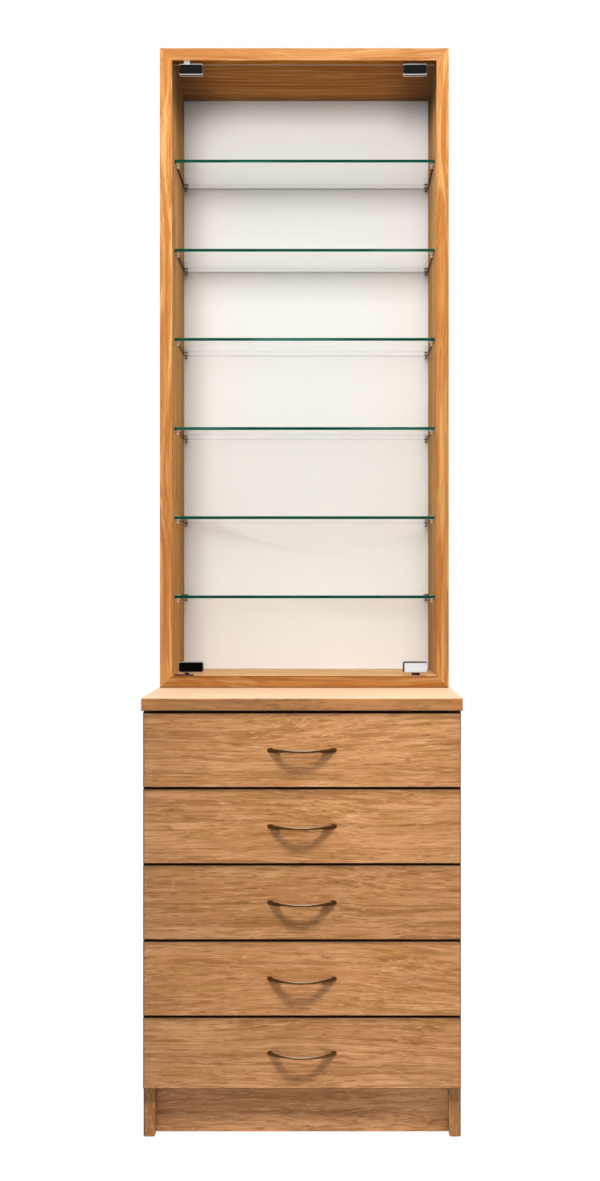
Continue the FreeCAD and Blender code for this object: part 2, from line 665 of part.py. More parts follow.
def build():
    pieces = {
        "upper_side_left": case_side_left(),
        "upper_side_right": mirrored_in_x(case_side_left()),
        "upper_top": case_top(),
        "upper_bottom": case_bottom(),
        "upper_back": case_back(),
        "shelf_supports": shelf_supports(),
        "door_glass": door_glass(),
        "hinge_clamp_top": hinge_clamp_top(),
        "hinge_clamp_bottom": hinge_clamp_bottom(),
        "strike_clip_top": strike_clip(True),
        "strike_clip_bottom": strike_clip(False),
        "hinge_bush_top": hinge_bush_top(),
        "hinge_base_bottom": hinge_base_bottom(),
        "magnetic_catch_top": magnetic_catch_top(),
        "magnetic_catch_bottom": magnetic_catch_bottom(),
        "case_screws": case_screws(),
        "worktop": worktop(),
        "chest_side_left": chest_side_left(),
        "chest_side_right": mirrored_in_x(chest_side_left()),
        "chest_back": chest_back(),
        "chest_bottom": chest_bottom(),
        "plinth_board": plinth_board(),
        "top_rails": top_rails(),
    }
    for number, level in enumerate(shelf_levels(), 1):
        pieces[f"glass_shelf_{number}"] = glass_shelf(level)
    cabinet_members = []
    top = FRONT_ZONE_TOP_Z
    for number in range(1, DRAWER_COUNT + 1):
        height = FRONT_HEIGHT - (LOWEST_FRONT_TRIM if number == DRAWER_COUNT else 0)
        bottom = top - height
        centre = slide_centre(bottom)
        cabinet_members.append(slide_outer_left(centre))
        pieces[f"drawer_{number}_front"] = drawer_front(bottom, height)
        pieces[f"drawer_{number}_handle"] = bow_handle(bottom + height / 2)
        pieces[f"drawer_{number}_box"] = drawer_box(bottom)
        pieces[f"drawer_{number}_bottom"] = drawer_bottom(bottom)
        pieces[f"drawer_{number}_slide_inner"] = both_sides([slide_inner_left(centre)])
        pieces[f"drawer_{number}_slide_middle"] = both_sides(slide_middle_left(centre))
        top = bottom - FRONT_GAP
    pieces["slide_cabinet_members"] = both_sides(cabinet_members)
    return pieces


os.makedirs("parts", exist_ok=True)
for name, shape in build().items():
    shape.exportStep(f"parts/{name}.step")
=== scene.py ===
import logging
import math
from dataclasses import dataclass, replace
from enum import Enum
from typing import Any

import bmesh
import bpy
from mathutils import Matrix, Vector


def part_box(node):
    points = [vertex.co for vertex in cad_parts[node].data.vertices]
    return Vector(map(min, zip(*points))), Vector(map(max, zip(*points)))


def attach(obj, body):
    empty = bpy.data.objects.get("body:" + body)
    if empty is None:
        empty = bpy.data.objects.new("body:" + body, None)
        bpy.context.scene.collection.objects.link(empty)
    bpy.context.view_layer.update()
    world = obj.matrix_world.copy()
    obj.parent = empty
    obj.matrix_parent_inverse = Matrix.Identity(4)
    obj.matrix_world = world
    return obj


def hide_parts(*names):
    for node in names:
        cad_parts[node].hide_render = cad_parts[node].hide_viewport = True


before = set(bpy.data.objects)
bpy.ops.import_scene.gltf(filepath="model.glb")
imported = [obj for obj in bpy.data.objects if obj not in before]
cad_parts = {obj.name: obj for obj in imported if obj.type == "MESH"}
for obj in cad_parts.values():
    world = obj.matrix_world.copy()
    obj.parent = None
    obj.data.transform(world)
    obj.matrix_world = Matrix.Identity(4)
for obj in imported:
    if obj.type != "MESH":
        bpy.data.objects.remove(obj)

log = logging.getLogger("display_cabinet")

Tree = bpy.types.NodeTree
Socket = bpy.types.NodeSocket
Material = bpy.types.Material
Mesh = bmesh.types.BMesh

# The photograph's frame, in pixels, and where its lines that run straight back meet
PHOTO_WIDTH = 600
PHOTO_HEIGHT = 1181
VANISHING_X = 328
VANISHING_Y = 584
FOCAL_PIXELS = 1341.5
SENSOR_MM = 36.0

MM_IN_METRE = 1000
# A face looks along an axis where its normal reaches this far along it
TURNED = 0.5
LACQUER_IOR = 1.5
GLASS_IOR = 1.52


def srgb(code: str) -> tuple[float, float, float, float]:
    """Turns an sRGB hex colour into the linear colour that shaders take.

    Args:
        code: The colour as "#RRGGBB".

    Returns:
        Red, green and blue from 0 to 1, linear, with an alpha of 1.
    """
    shares = [int(code[i : i + 2], 16) / 255 for i in (1, 3, 5)]
    linear = [s / 12.92 if s <= 0.04045 else ((s + 0.055) / 1.055) ** 2.4 for s in shares]
    return (linear[0], linear[1], linear[2], 1.0)


def add_node(
    tree: Tree, kind: str, inputs: dict[str | int, Any] | None = None, **settings: Any
) -> bpy.types.Node:
    """Adds one node to a tree, with its settings, socket values and links.

    Args:
        tree: The node tree that gets the node.
        kind: The node's type name.
        inputs: Socket names or numbers, each with a value or with the output socket to link to it.
        settings: Attributes of the node to set first, because some of them change its sockets.

    Returns:
        The new node.
    """
    node = tree.nodes.new(kind)
    for name, value in settings.items():
        setattr(node, name, value)
    for key, value in (inputs or {}).items():
        socket = node.inputs[key]
        if isinstance(value, Socket):
            tree.links.new(value, socket)
        else:
            socket.default_value = value
    return node


def new_material(name: str) -> tuple[Material, Tree, bpy.types.Node]:
    """Starts a material whose tree holds only its output.

    Args:
        name: The material's name.

    Returns:
        The material, its node tree and its output node.
    """
    material = bpy.data.materials.new(name)
    material.use_nodes = True
    tree = material.node_tree
    tree.nodes.clear()
    return material, tree, add_node(tree, "ShaderNodeOutputMaterial")


def layered(tree: Tree, base: Any, coats: list[tuple[Any, Any]]) -> Socket:
    """Lays tones over a base colour, one upon the other, each where its share shows.

    Args:
        tree: The node tree.
        base: The colour underneath, or its socket.
        coats: Each tone's share and then the tone, as values or sockets.

    Returns:
        The topmost colour's socket.
    """
    colour = base
    # Sockets 6 and 7 of the node are its two colours, and output 2 is the mixed one
    for share, tone in coats:
        inputs = {0: share, 6: colour, 7: tone}
        colour = add_node(tree, "ShaderNodeMix", inputs, data_type="RGBA").outputs[2]
    return colour


class Grain(Enum):
    """The way that a board's grain runs."""

    ALONG_X = 0
    ALONG_Y = 1
    ALONG_Z = 2


@dataclass(frozen=True)
class Streaks:
    """Stretched noise: how wide and long its streaks are, in real millimetres, and how rough."""

    across_mm: float
    along_mm: float
    detail: float = 2.0
    roughness: float = 0.5

    def value(self, tree: Tree, grain: Grain, place: Socket, shift: float = 0.0) -> Socket:
        """Adds the noise to a tree.

        Args:
            tree: The node tree.
            grain: The way that the streaks run.
            place: The coordinates in metres.
            shift: Moves the pattern, so that boards differ.

        Returns:
            The noise's value, about 0.5 on average.
        """
        scale = [MM_IN_METRE / self.across_mm] * 3
        scale[grain.value] = MM_IN_METRE / self.along_mm
        inputs = {"Vector": place, "Scale": scale, "Location": (shift, shift, shift)}
        stretched = add_node(tree, "ShaderNodeMapping", inputs).outputs["Vector"]
        inputs = {"Vector": stretched, "Scale": 1.0, "Detail": self.detail, "Roughness": self.roughness}
        return add_node(tree, "ShaderNodeTexNoise", inputs).outputs["Fac"]


@dataclass(frozen=True)
class Layer:
    """One layer of a veneer's figure: its streaks, the share of them that shows, and its colour."""

    streaks: Streaks
    start: float
    full: float
    strength: float
    colour: str


@dataclass(frozen=True)
class PaintedShade:
    """A band of painted shade that darkens a board's veneer, between two places along one axis, in metres.

    Where facing is 1 or -1, the band lies only on the wide face whose normal has that sign.
    """

    axis: Grain
    start: float
    full: float
    strength: float
    colour: str = "#2C1D12"
    facing: int = 0

    def cover(self, tree: Tree, where: Any, turned: Socket) -> Socket:
        """Works out how much of the band's colour shows.

        Args:
            tree: The node tree.
            where: The sockets of the three coordinates.
            turned: How far the face's normal reaches along the axis across the board.

        Returns:
            The cover's socket.
        """
        inputs = {"Value": where[self.axis.value], "From Min": self.start, "From Max": self.full}
        reached = add_node(tree, "ShaderNodeMapRange", inputs, interpolation_type="SMOOTHSTEP").outputs[0]
        inputs = {0: reached, 1: self.strength}
        cover = add_node(tree, "ShaderNodeMath", inputs, operation="MULTIPLY").outputs[0]
        if not self.facing:
            return cover
        inputs = {0: turned, 1: self.facing}
        towards = add_node(tree, "ShaderNodeMath", inputs, operation="MULTIPLY").outputs[0]
        inputs = {0: towards, 1: TURNED}
        on_face = add_node(tree, "ShaderNodeMath", inputs, operation="GREATER_THAN").outputs[0]
        inputs = {0: cover, 1: on_face}
        return add_node(tree, "ShaderNodeMath", inputs, operation="MULTIPLY").outputs[0]


@dataclass(frozen=True)
class OakVeneer:
    """Oak veneer on chipboard, sliced, sanded and given a satin lacquer.

    The figure wanders with a slow bend, so that growth rings draw long arches. Over them lie streaks,
    pale flecks and open pores. Real pores are 0.3 mm wide. They are drawn coarser, to show at all.
    The gains multiply red, green and blue, on the wide faces and on the edges. They are painted light:
    they make one veneer lighter or darker on its faces than on its edges, as the light falls. The outer
    band and the lips are painted shade, along the board's ends and in the gaps.
    """

    name: str
    light: str
    middle: str
    # The colour of the painted shade in the band along the board's outer ends
    edge_shade: str
    layers: tuple[Layer, ...]
    roughness: float = 0.42
    bend_mm: float = 75.0
    # The colour of the painted shade on faces turned up or down, which lie in the gaps
    gap_shade: str = "#2C1D12"
    gap_shade_above: bool = False
    gap_shade_below: bool = False
    # Painted light: gains for the wide faces and for the edges
    face_light_gain: tuple[float, float, float] = (1.0, 1.0, 1.0)
    edge_light_gain: tuple[float, float, float] = (1.0, 1.0, 1.0)
    gloss: float = 0.2
    haze: float = 0.0
    haze_colour: str = "#FFFFFF"
    haze_roughness: float = 0.5
    tone: Streaks = Streaks(42.0, 420.0, 3.0, 0.55)
    tone_range: tuple[float, float] = (0.34, 0.66)
    bend: Streaks = Streaks(120.0, 520.0, 1.0, 0.4)
    gap_shade_turn: float = 0.3
    pore_relief: float = 0.10
    pore_depth: float = 0.0003
    pore_roughness: float = 0.12

    def bent_place(self, tree: Tree, grain: Grain, shift: float) -> Socket:
        """Bends the coordinates across the grain, as the rings of a tapering trunk do.

        Args:
            tree: The node tree.
            grain: The way that the board's grain runs.
            shift: Moves the pattern.

        Returns:
            The bent coordinates.
        """
        place = add_node(tree, "ShaderNodeTexCoord").outputs["Object"]
        wander = self.bend.value(tree, grain, place, shift)
        reach = self.bend_mm / MM_IN_METRE
        inputs = {0: wander, 1: reach, 2: -reach / 2}
        offset = add_node(tree, "ShaderNodeMath", inputs, operation="MULTIPLY_ADD").outputs[0]
        across = [1.0, 1.0, 1.0]
        across[grain.value] = 0.0
        push = add_node(tree, "ShaderNodeVectorMath", {0: across, 3: offset}, operation="SCALE")
        return add_node(tree, "ShaderNodeVectorMath", {0: place, 1: push.outputs[0]}).outputs[0]

    def figure(self, tree: Tree, grain: Grain, shift: float) -> tuple[Socket, Socket]:
        """Draws the wood's figure, layer by layer.

        Args:
            tree: The node tree.
            grain: The way that the board's grain runs.
            shift: Moves the pattern.

        Returns:
            The figure's colour, and where its last layer, the pores, shows.
        """
        place = self.bent_place(tree, grain, shift)
        low, high = self.tone_range
        cloud = self.tone.value(tree, grain, place, shift)
        inputs = {"Value": cloud, "From Min": low, "From Max": high}
        shown = add_node(tree, "ShaderNodeMapRange", inputs, interpolation_type="SMOOTHSTEP").outputs[0]
        coats = [(shown, srgb(self.middle))]
        for number, layer in enumerate(self.layers):
            value = layer.streaks.value(tree, grain, place, shift + number)
            inputs = {"Value": value, "From Min": layer.start, "From Max": layer.full}
            shown = add_node(tree, "ShaderNodeMapRange", inputs, interpolation_type="SMOOTHSTEP").outputs[0]
            inputs = {0: shown, 1: layer.strength}
            cover = add_node(tree, "ShaderNodeMath", inputs, operation="MULTIPLY").outputs[0]
            coats.append((cover, srgb(layer.colour)))
        return layered(tree, srgb(self.light), coats), shown

    def make(
        self,
        grain: Grain,
        shift: float,
        ends: tuple[float, float] | None = None,
        tone: float = 1.0,
        shades: tuple[PaintedShade, ...] = (),
    ) -> Material:
        """Builds the veneer for one board.

        Args:
            grain: The way that the board's grain runs.
            shift: Moves the pattern, so that boards differ.
            ends: Where |x| starts and ends to count as the board's outer band of painted shade, in metres.
            tone: How light this board is beside the others.
            shades: The bands of painted shade that darken it.

        Returns:
            The material.
        """
        material, tree, output = new_material(f"{self.name}_{grain.name.lower()}_{shift:g}")
        colour, pores = self.figure(tree, grain, shift)
        place = add_node(tree, "ShaderNodeTexCoord").outputs
        where = add_node(tree, "ShaderNodeSeparateXYZ", {0: place["Object"]}).outputs
        normal = add_node(tree, "ShaderNodeSeparateXYZ", {0: place["Normal"]}).outputs
        inputs = {0: place["Normal"]}
        extent = add_node(tree, "ShaderNodeVectorMath", inputs, operation="ABSOLUTE").outputs[0]
        extent = add_node(tree, "ShaderNodeSeparateXYZ", {0: extent}).outputs
        across = "X" if grain is Grain.ALONG_Z else "Z"
        inputs = {0: extent[across], 1: TURNED}
        is_face = add_node(tree, "ShaderNodeMath", inputs, operation="GREATER_THAN").outputs[0]
        # Painted light: the faces and the edges of one veneer are lightened or darkened apart
        gain = layered(tree, (*self.edge_light_gain, 1), [(is_face, (*self.face_light_gain, 1))])
        for factor in ((tone, tone, tone, 1), gain):
            inputs = {0: 1.0, 6: colour, 7: factor}
            mix = add_node(tree, "ShaderNodeMix", inputs, data_type="RGBA", blend_type="MULTIPLY")
            colour = mix.outputs[2]
        coats = []
        # Painted shade in a band along the board's outer ends, on faces not turned along X
        if ends:
            outward = add_node(tree, "ShaderNodeMath", {0: where["X"]}, operation="ABSOLUTE").outputs[0]
            inputs = {"Value": outward, "From Min": ends[0], "From Max": ends[1]}
            beside = add_node(tree, "ShaderNodeMapRange", inputs, interpolation_type="SMOOTHSTEP").outputs[0]
            inputs = {0: extent["X"], 1: TURNED}
            in_front = add_node(tree, "ShaderNodeMath", inputs, operation="LESS_THAN").outputs[0]
            inputs = {0: beside, 1: in_front}
            edge_shade = add_node(tree, "ShaderNodeMath", inputs, operation="MULTIPLY").outputs[0]
            coats.append((edge_shade, srgb(self.edge_shade)))
        for shade in shades:
            coats.append((shade.cover(tree, where, normal[across]), srgb(shade.colour)))
        # Painted shade on faces turned up or down, in the gaps between boards
        above = (self.gap_shade_above, "GREATER_THAN", self.gap_shade_turn)
        below = (self.gap_shade_below, "LESS_THAN", -self.gap_shade_turn)
        for has_gap_shade, operation, turn in (above, below):
            if has_gap_shade:
                inputs = {0: normal["Z"], 1: turn}
                in_gap_shade = add_node(tree, "ShaderNodeMath", inputs, operation=operation).outputs[0]
                coats.append((in_gap_shade, srgb(self.gap_shade)))
        inputs = {0: pores, 1: self.pore_roughness, 2: self.roughness}
        rough = add_node(tree, "ShaderNodeMath", inputs, operation="MULTIPLY_ADD").outputs[0]
        inputs = {"Height": pores, "Strength": self.pore_relief, "Distance": self.pore_depth}
        bump = add_node(tree, "ShaderNodeBump", inputs, invert=True)
        inputs = {
            "Base Color": layered(tree, colour, coats),
            "Roughness": rough,
            "Normal": bump.outputs["Normal"],
            "IOR": LACQUER_IOR,
            "Specular IOR Level": self.gloss,
            "Sheen Weight": self.haze,
            "Sheen Roughness": self.haze_roughness,
            "Sheen Tint": srgb(self.haze_colour),
        }
        surface = add_node(tree, "ShaderNodeBsdfPrincipled", inputs)
        tree.links.new(surface.outputs["BSDF"], output.inputs["Surface"])
        return material


def oak_figure(dark: str, warm: str, pale: str, pore: str) -> tuple[Layer, ...]:
    """Lists the layers of oak's figure in the given colours.

    Args:
        dark: The late wood of the rings.
        warm: Broad patches of another tone.
        pale: Light streaks and flecks.
        pore: The open pores.

    Returns:
        The layers, from the first under the others to the pores on top.
    """
    return (
        Layer(Streaks(24.0, 130.0), 0.46, 0.68, 0.60, warm),
        Layer(Streaks(8.5, 1500.0, 2.0), 0.50, 0.62, 0.55, dark),
        Layer(Streaks(3.4, 90.0, 3.0, 0.6), 0.48, 0.66, 0.54, dark),
        Layer(Streaks(3.2, 75.0, 3.0, 0.6), 0.52, 0.68, 0.58, pale),
        Layer(Streaks(2.8, 22.0), 0.60, 0.72, 0.52, pale),
        Layer(Streaks(2.2, 30.0, 1.0), 0.58, 0.70, 0.50, pore),
    )


@dataclass(frozen=True)
class EvenCoat:
    """A coat of nearly one colour, with broad clouds in its tone and a fine relief in its skin."""

    name: str
    colour: str
    shade: str
    roughness: float
    cloud_mm: float
    cloud_detail: float
    skin_mm: float
    skin_detail: float
    relief: float
    relief_depth: float = 0.0002

    def make(self) -> Material:
        """Builds the material.

        Returns:
            The material.
        """
        material, tree, output = new_material(self.name)
        place = add_node(tree, "ShaderNodeTexCoord").outputs["Object"]
        inputs = {"Vector": place, "Scale": MM_IN_METRE / self.cloud_mm, "Detail": self.cloud_detail}
        cloud = add_node(tree, "ShaderNodeTexNoise", inputs).outputs["Fac"]
        colour = layered(tree, srgb(self.colour), [(cloud, srgb(self.shade))])
        inputs = {"Vector": place, "Scale": MM_IN_METRE / self.skin_mm, "Detail": self.skin_detail}
        skin = add_node(tree, "ShaderNodeTexNoise", inputs).outputs["Fac"]
        inputs = {"Height": skin, "Strength": self.relief, "Distance": self.relief_depth}
        bump = add_node(tree, "ShaderNodeBump", inputs).outputs["Normal"]
        inputs = {"Base Color": colour, "Roughness": self.roughness, "Normal": bump, "IOR": LACQUER_IOR}
        surface = add_node(tree, "ShaderNodeBsdfPrincipled", inputs)
        tree.links.new(surface.outputs["BSDF"], output.inputs["Surface"])
        return material


@dataclass(frozen=True)
class LacqueredPanel(EvenCoat):
    """Thin hardboard with a rolled lacquer: nearly even, with a faint orange-peel."""

    roughness: float = 0.42
    cloud_mm: float = 455.0
    cloud_detail: float = 2.0
    skin_mm: float = 2.38
    skin_detail: float = 1.0
    relief: float = 0.05


@dataclass(frozen=True)
class MouldedPlastic(EvenCoat):
    """Injection-moulded nylon with a fine spark-eroded skin: even, with low gloss.

    A real skin's grain is 0.1 mm wide. It is drawn coarser, to show at all.
    """

    roughness: float = 0.5
    cloud_mm: float = 25.0
    cloud_detail: float = 1.0
    skin_mm: float = 1.11
    skin_detail: float = 2.0
    relief: float = 0.15


class PaneFaces(Enum):
    """The axis across a pane, along which one looks through it."""

    ACROSS_Y = "Y"
    ACROSS_Z = "Z"


@dataclass(frozen=True)
class FloatGlass:
    """Clear soda-lime float glass: its faces let light through, and its edges show the iron's green.

    The covers tell how opaque the front and rear edges are. The rear edge lies past rear_from along Y,
    and the ground arris beside a side edge where |x| passes arris_from, both in metres.
    """

    name: str
    tint: str
    deep: str
    pale: str
    side: str
    rear: str
    front_cover: float
    rear_cover: float
    rear_from: float
    arris_from: float = 1.0
    mirror: float = 0.04
    rear_line: tuple[float, float] = (0.55, 0.35)
    patches: Streaks = Streaks(14.0, 260.0, 1.0)
    patch_range: tuple[float, float] = (0.56, 0.74)
    edge_roughness: float = 0.3
    face_roughness: float = 0.02
    mirror_rise: float = 5.0

    def make(self, faces: PaneFaces) -> Material:
        """Builds the glass.

        Args:
            faces: The axis across the pane.

        Returns:
            The material.
        """
        material, tree, output = new_material(f"{self.name}_{faces.name.lower()}")
        place = add_node(tree, "ShaderNodeTexCoord").outputs
        where = add_node(tree, "ShaderNodeSeparateXYZ", {0: place["Object"]}).outputs
        inputs = {0: place["Normal"]}
        extent = add_node(tree, "ShaderNodeVectorMath", inputs, operation="ABSOLUTE").outputs[0]
        extent = add_node(tree, "ShaderNodeSeparateXYZ", {0: extent}).outputs
        inputs = {0: extent[faces.value], 1: TURNED}
        is_edge = add_node(tree, "ShaderNodeMath", inputs, operation="LESS_THAN").outputs[0]
        inputs = {0: extent["X"], 1: TURNED}
        is_side = add_node(tree, "ShaderNodeMath", inputs, operation="GREATER_THAN").outputs[0]
        # The ground arris beside an edge shows as dark as the edge, with the same painted shade
        outward = add_node(tree, "ShaderNodeMath", {0: where["X"]}, operation="ABSOLUTE").outputs[0]
        inputs = {0: outward, 1: self.arris_from}
        outer = add_node(tree, "ShaderNodeMath", inputs, operation="GREATER_THAN").outputs[0]
        inputs = {0: extent["Y"], 1: TURNED}
        off_front = add_node(tree, "ShaderNodeMath", inputs, operation="LESS_THAN").outputs[0]
        arris = add_node(tree, "ShaderNodeMath", {0: outer, 1: off_front}, operation="MULTIPLY").outputs[0]
        is_edge = add_node(tree, "ShaderNodeMath", {0: is_edge, 1: arris}, operation="MAXIMUM").outputs[0]
        is_side = add_node(tree, "ShaderNodeMath", {0: is_side, 1: arris}, operation="MAXIMUM").outputs[0]
        inputs = {0: where["Y"], 1: self.rear_from}
        behind = add_node(tree, "ShaderNodeMath", inputs, operation="GREATER_THAN").outputs[0]
        off_side = add_node(tree, "ShaderNodeMath", {0: 1.0, 1: is_side}, operation="SUBTRACT").outputs[0]
        is_rear = add_node(tree, "ShaderNodeMath", {0: behind, 1: off_side}, operation="MULTIPLY").outputs[0]
        # The green looks deeper or paler along an edge with what the glass behind it shows
        patches = self.patches.value(tree, Grain.ALONG_X, place["Object"])
        low, high = self.patch_range
        inputs = {"Value": patches, "From Min": low, "From Max": high}
        shown = add_node(tree, "ShaderNodeMapRange", inputs, interpolation_type="SMOOTHSTEP").outputs[0]
        # The side and rear tones paint shade on the shelves, and light on the door's edges
        coats = [(shown, srgb(self.pale)), (is_side, srgb(self.side)), (is_rear, srgb(self.rear))]
        colour = layered(tree, srgb(self.deep), coats)
        inputs = {
            "Base Color": colour,
            "Roughness": self.edge_roughness,
            "IOR": GLASS_IOR,
            "Specular IOR Level": 0.0,
        }
        ground = add_node(tree, "ShaderNodeBsdfPrincipled", inputs).outputs[0]
        through = add_node(tree, "ShaderNodeBsdfTransparent", {"Color": srgb(self.tint)}).outputs[0]
        # Only the lower part of the rear edge draws a line, and that line is a grey painted shadow
        upward = add_node(tree, "ShaderNodeSeparateXYZ", {0: place["Generated"]}).outputs["Z"]
        low, high = self.rear_line
        inputs = {"Value": upward, "From Min": low, "From Max": high}
        line = add_node(tree, "ShaderNodeMapRange", inputs, interpolation_type="SMOOTHSTEP").outputs[0]
        inputs = {0: line, 1: self.rear_cover}
        rear_share = add_node(tree, "ShaderNodeMath", inputs, operation="MULTIPLY").outputs[0]
        off_rear = add_node(tree, "ShaderNodeMath", {0: 1.0, 1: is_rear}, operation="SUBTRACT").outputs[0]
        inputs = {0: off_rear, 1: self.front_cover}
        front_share = add_node(tree, "ShaderNodeMath", inputs, operation="MULTIPLY").outputs[0]
        inputs = {0: is_rear, 1: rear_share, 2: front_share}
        cover = add_node(tree, "ShaderNodeMath", inputs, operation="MULTIPLY_ADD").outputs[0]
        edge = add_node(tree, "ShaderNodeMixShader", {0: cover, 1: through, 2: ground}).outputs[0]
        inputs = {"Color": srgb("#FFFFFF"), "Roughness": self.face_roughness}
        shine = add_node(tree, "ShaderNodeBsdfGlossy", inputs).outputs[0]
        inputs = {0: self.shine_share(tree), 1: through, 2: shine}
        face = add_node(tree, "ShaderNodeMixShader", inputs).outputs[0]
        both = add_node(tree, "ShaderNodeMixShader", {0: is_edge, 1: face, 2: edge})
        tree.links.new(both.outputs[0], output.inputs["Surface"])
        return material

    def shine_share(self, tree: Tree) -> Socket:
        """Works out how much a face mirrors, by Schlick's rule, which holds alike for both of its sides.

        Args:
            tree: The node tree.

        Returns:
            The share's socket.
        """
        facing = add_node(tree, "ShaderNodeLayerWeight", {"Blend": 0.5}).outputs["Facing"]
        inputs = {0: facing, 1: self.mirror_rise}
        steep = add_node(tree, "ShaderNodeMath", inputs, operation="POWER").outputs[0]
        inputs = {0: steep, 1: 1 - self.mirror, 2: self.mirror}
        return add_node(tree, "ShaderNodeMath", inputs, operation="MULTIPLY_ADD").outputs[0]


@dataclass(frozen=True)
class Metal:
    """A metal with a brushed or plated surface: fine lines one way and slight changes of shine.

    Real lines are 0.05 mm wide. They are drawn coarser, to show at all. Where a colour of painted shade is
    given, what lies past its start along Y, in metres, has that colour.
    """

    name: str
    colour: str
    shade: str
    grain: Grain = Grain.ALONG_X
    rear_shade: str = ""
    rear_shade_from: float = 0.15
    lines: Streaks = Streaks(0.6, 36.0)
    line_range: tuple[float, float] = (0.35, 0.65)
    roughness: float = 0.23
    line_roughness: float = 0.14
    relief: float = 0.06
    relief_depth: float = 0.0001

    def make(self) -> Material:
        """Builds the material.

        Returns:
            The material.
        """
        material, tree, output = new_material(self.name)
        place = add_node(tree, "ShaderNodeTexCoord").outputs["Object"]
        lines = self.lines.value(tree, self.grain, place)
        low, high = self.line_range
        inputs = {"Value": lines, "From Min": low, "From Max": high}
        shown = add_node(tree, "ShaderNodeMapRange", inputs, interpolation_type="SMOOTHSTEP").outputs[0]
        coats = [(shown, srgb(self.shade))]
        # Painted shade on what lies far back along Y
        if self.rear_shade:
            back = add_node(tree, "ShaderNodeSeparateXYZ", {0: place}).outputs["Y"]
            inputs = {0: back, 1: self.rear_shade_from}
            in_rear_shade = add_node(tree, "ShaderNodeMath", inputs, operation="GREATER_THAN").outputs[0]
            coats.append((in_rear_shade, srgb(self.rear_shade)))
        colour = layered(tree, srgb(self.colour), coats)
        inputs = {0: lines, 1: self.line_roughness, 2: self.roughness}
        rough = add_node(tree, "ShaderNodeMath", inputs, operation="MULTIPLY_ADD").outputs[0]
        inputs = {"Height": lines, "Strength": self.relief, "Distance": self.relief_depth}
        bump = add_node(tree, "ShaderNodeBump", inputs).outputs["Normal"]
        inputs = {"Base Color": colour, "Metallic": 1.0, "Roughness": rough, "Normal": bump}
        surface = add_node(tree, "ShaderNodeBsdfPrincipled", inputs)
        tree.links.new(surface.outputs["BSDF"], output.inputs["Surface"])
        return material


@dataclass(frozen=True)
class BevelledChrome:
    """Chrome plate on a pressed clip: one even face, and ground bevels with painted reflections, a tone for
    each way a bevel faces.

    The line tells how far the left and the upper bevel's painted reflection reaches on to the face, as
    shares of the clip's width and height. Where it is 0, the face has no such painted reflection.
    """

    name: str
    face: str
    upper: str
    lower: str
    left: str
    right: str
    metallic: float
    mirror: float
    line: tuple[float, float] = (0.0, 0.0)
    line_edge: float = 0.8
    bevel_turn: tuple[float, float] = (0.25, 0.45)
    cloud_mm: float = 16.7
    cloud_detail: float = 3.0
    cloud_share: float = 0.06
    cloud_roughness: float = 0.12
    roughness: float = 0.26

    def make(self) -> Material:
        """Builds the material.

        Returns:
            The material.
        """
        material, tree, output = new_material(self.name)
        place = add_node(tree, "ShaderNodeTexCoord").outputs
        normal = add_node(tree, "ShaderNodeSeparateXYZ", {"Vector": place["Normal"]}).outputs
        share = add_node(tree, "ShaderNodeSeparateXYZ", {"Vector": place["Generated"]}).outputs
        scale = MM_IN_METRE / self.cloud_mm
        inputs = {"Vector": place["Object"], "Scale": scale, "Detail": self.cloud_detail}
        cloud = add_node(tree, "ShaderNodeTexNoise", inputs).outputs["Fac"]
        low, high = self.bevel_turn
        bands = []
        # Each bevel gets a painted reflection, a tone for the way that it faces
        bevels = (("X", -1, self.left), ("X", 1, self.right), ("Z", 1, self.upper), ("Z", -1, self.lower))
        for axis, way, tone in bevels:
            inputs = {0: normal[axis], 1: way}
            turned = add_node(tree, "ShaderNodeMath", inputs, operation="MULTIPLY").outputs[0]
            bands.append((turned, low, high, tone))
        wide, tall = self.line
        if wide:
            bands.append((share["X"], wide, self.line_edge * wide, self.left))
            bands.append((share["Z"], 1 - tall, 1 - self.line_edge * tall, self.upper))
        coats = []
        for value, start, full, tone in bands:
            inputs = {"Value": value, "From Min": start, "From Max": full}
            shown = add_node(tree, "ShaderNodeMapRange", inputs, interpolation_type="SMOOTHSTEP").outputs[0]
            coats.append((shown, srgb(tone)))
        inputs = {0: cloud, 1: self.cloud_share}
        haze = add_node(tree, "ShaderNodeMath", inputs, operation="MULTIPLY").outputs[0]
        coats.append((haze, srgb(self.face)))
        inputs = {0: cloud, 1: self.cloud_roughness, 2: self.roughness}
        rough = add_node(tree, "ShaderNodeMath", inputs, operation="MULTIPLY_ADD").outputs[0]
        inputs = {
            "Base Color": layered(tree, srgb(self.face), coats),
            "Metallic": self.metallic,
            "Roughness": rough,
            "Specular IOR Level": self.mirror,
        }
        surface = add_node(tree, "ShaderNodeBsdfPrincipled", inputs)
        tree.links.new(surface.outputs["BSDF"], output.inputs["Surface"])
        return material


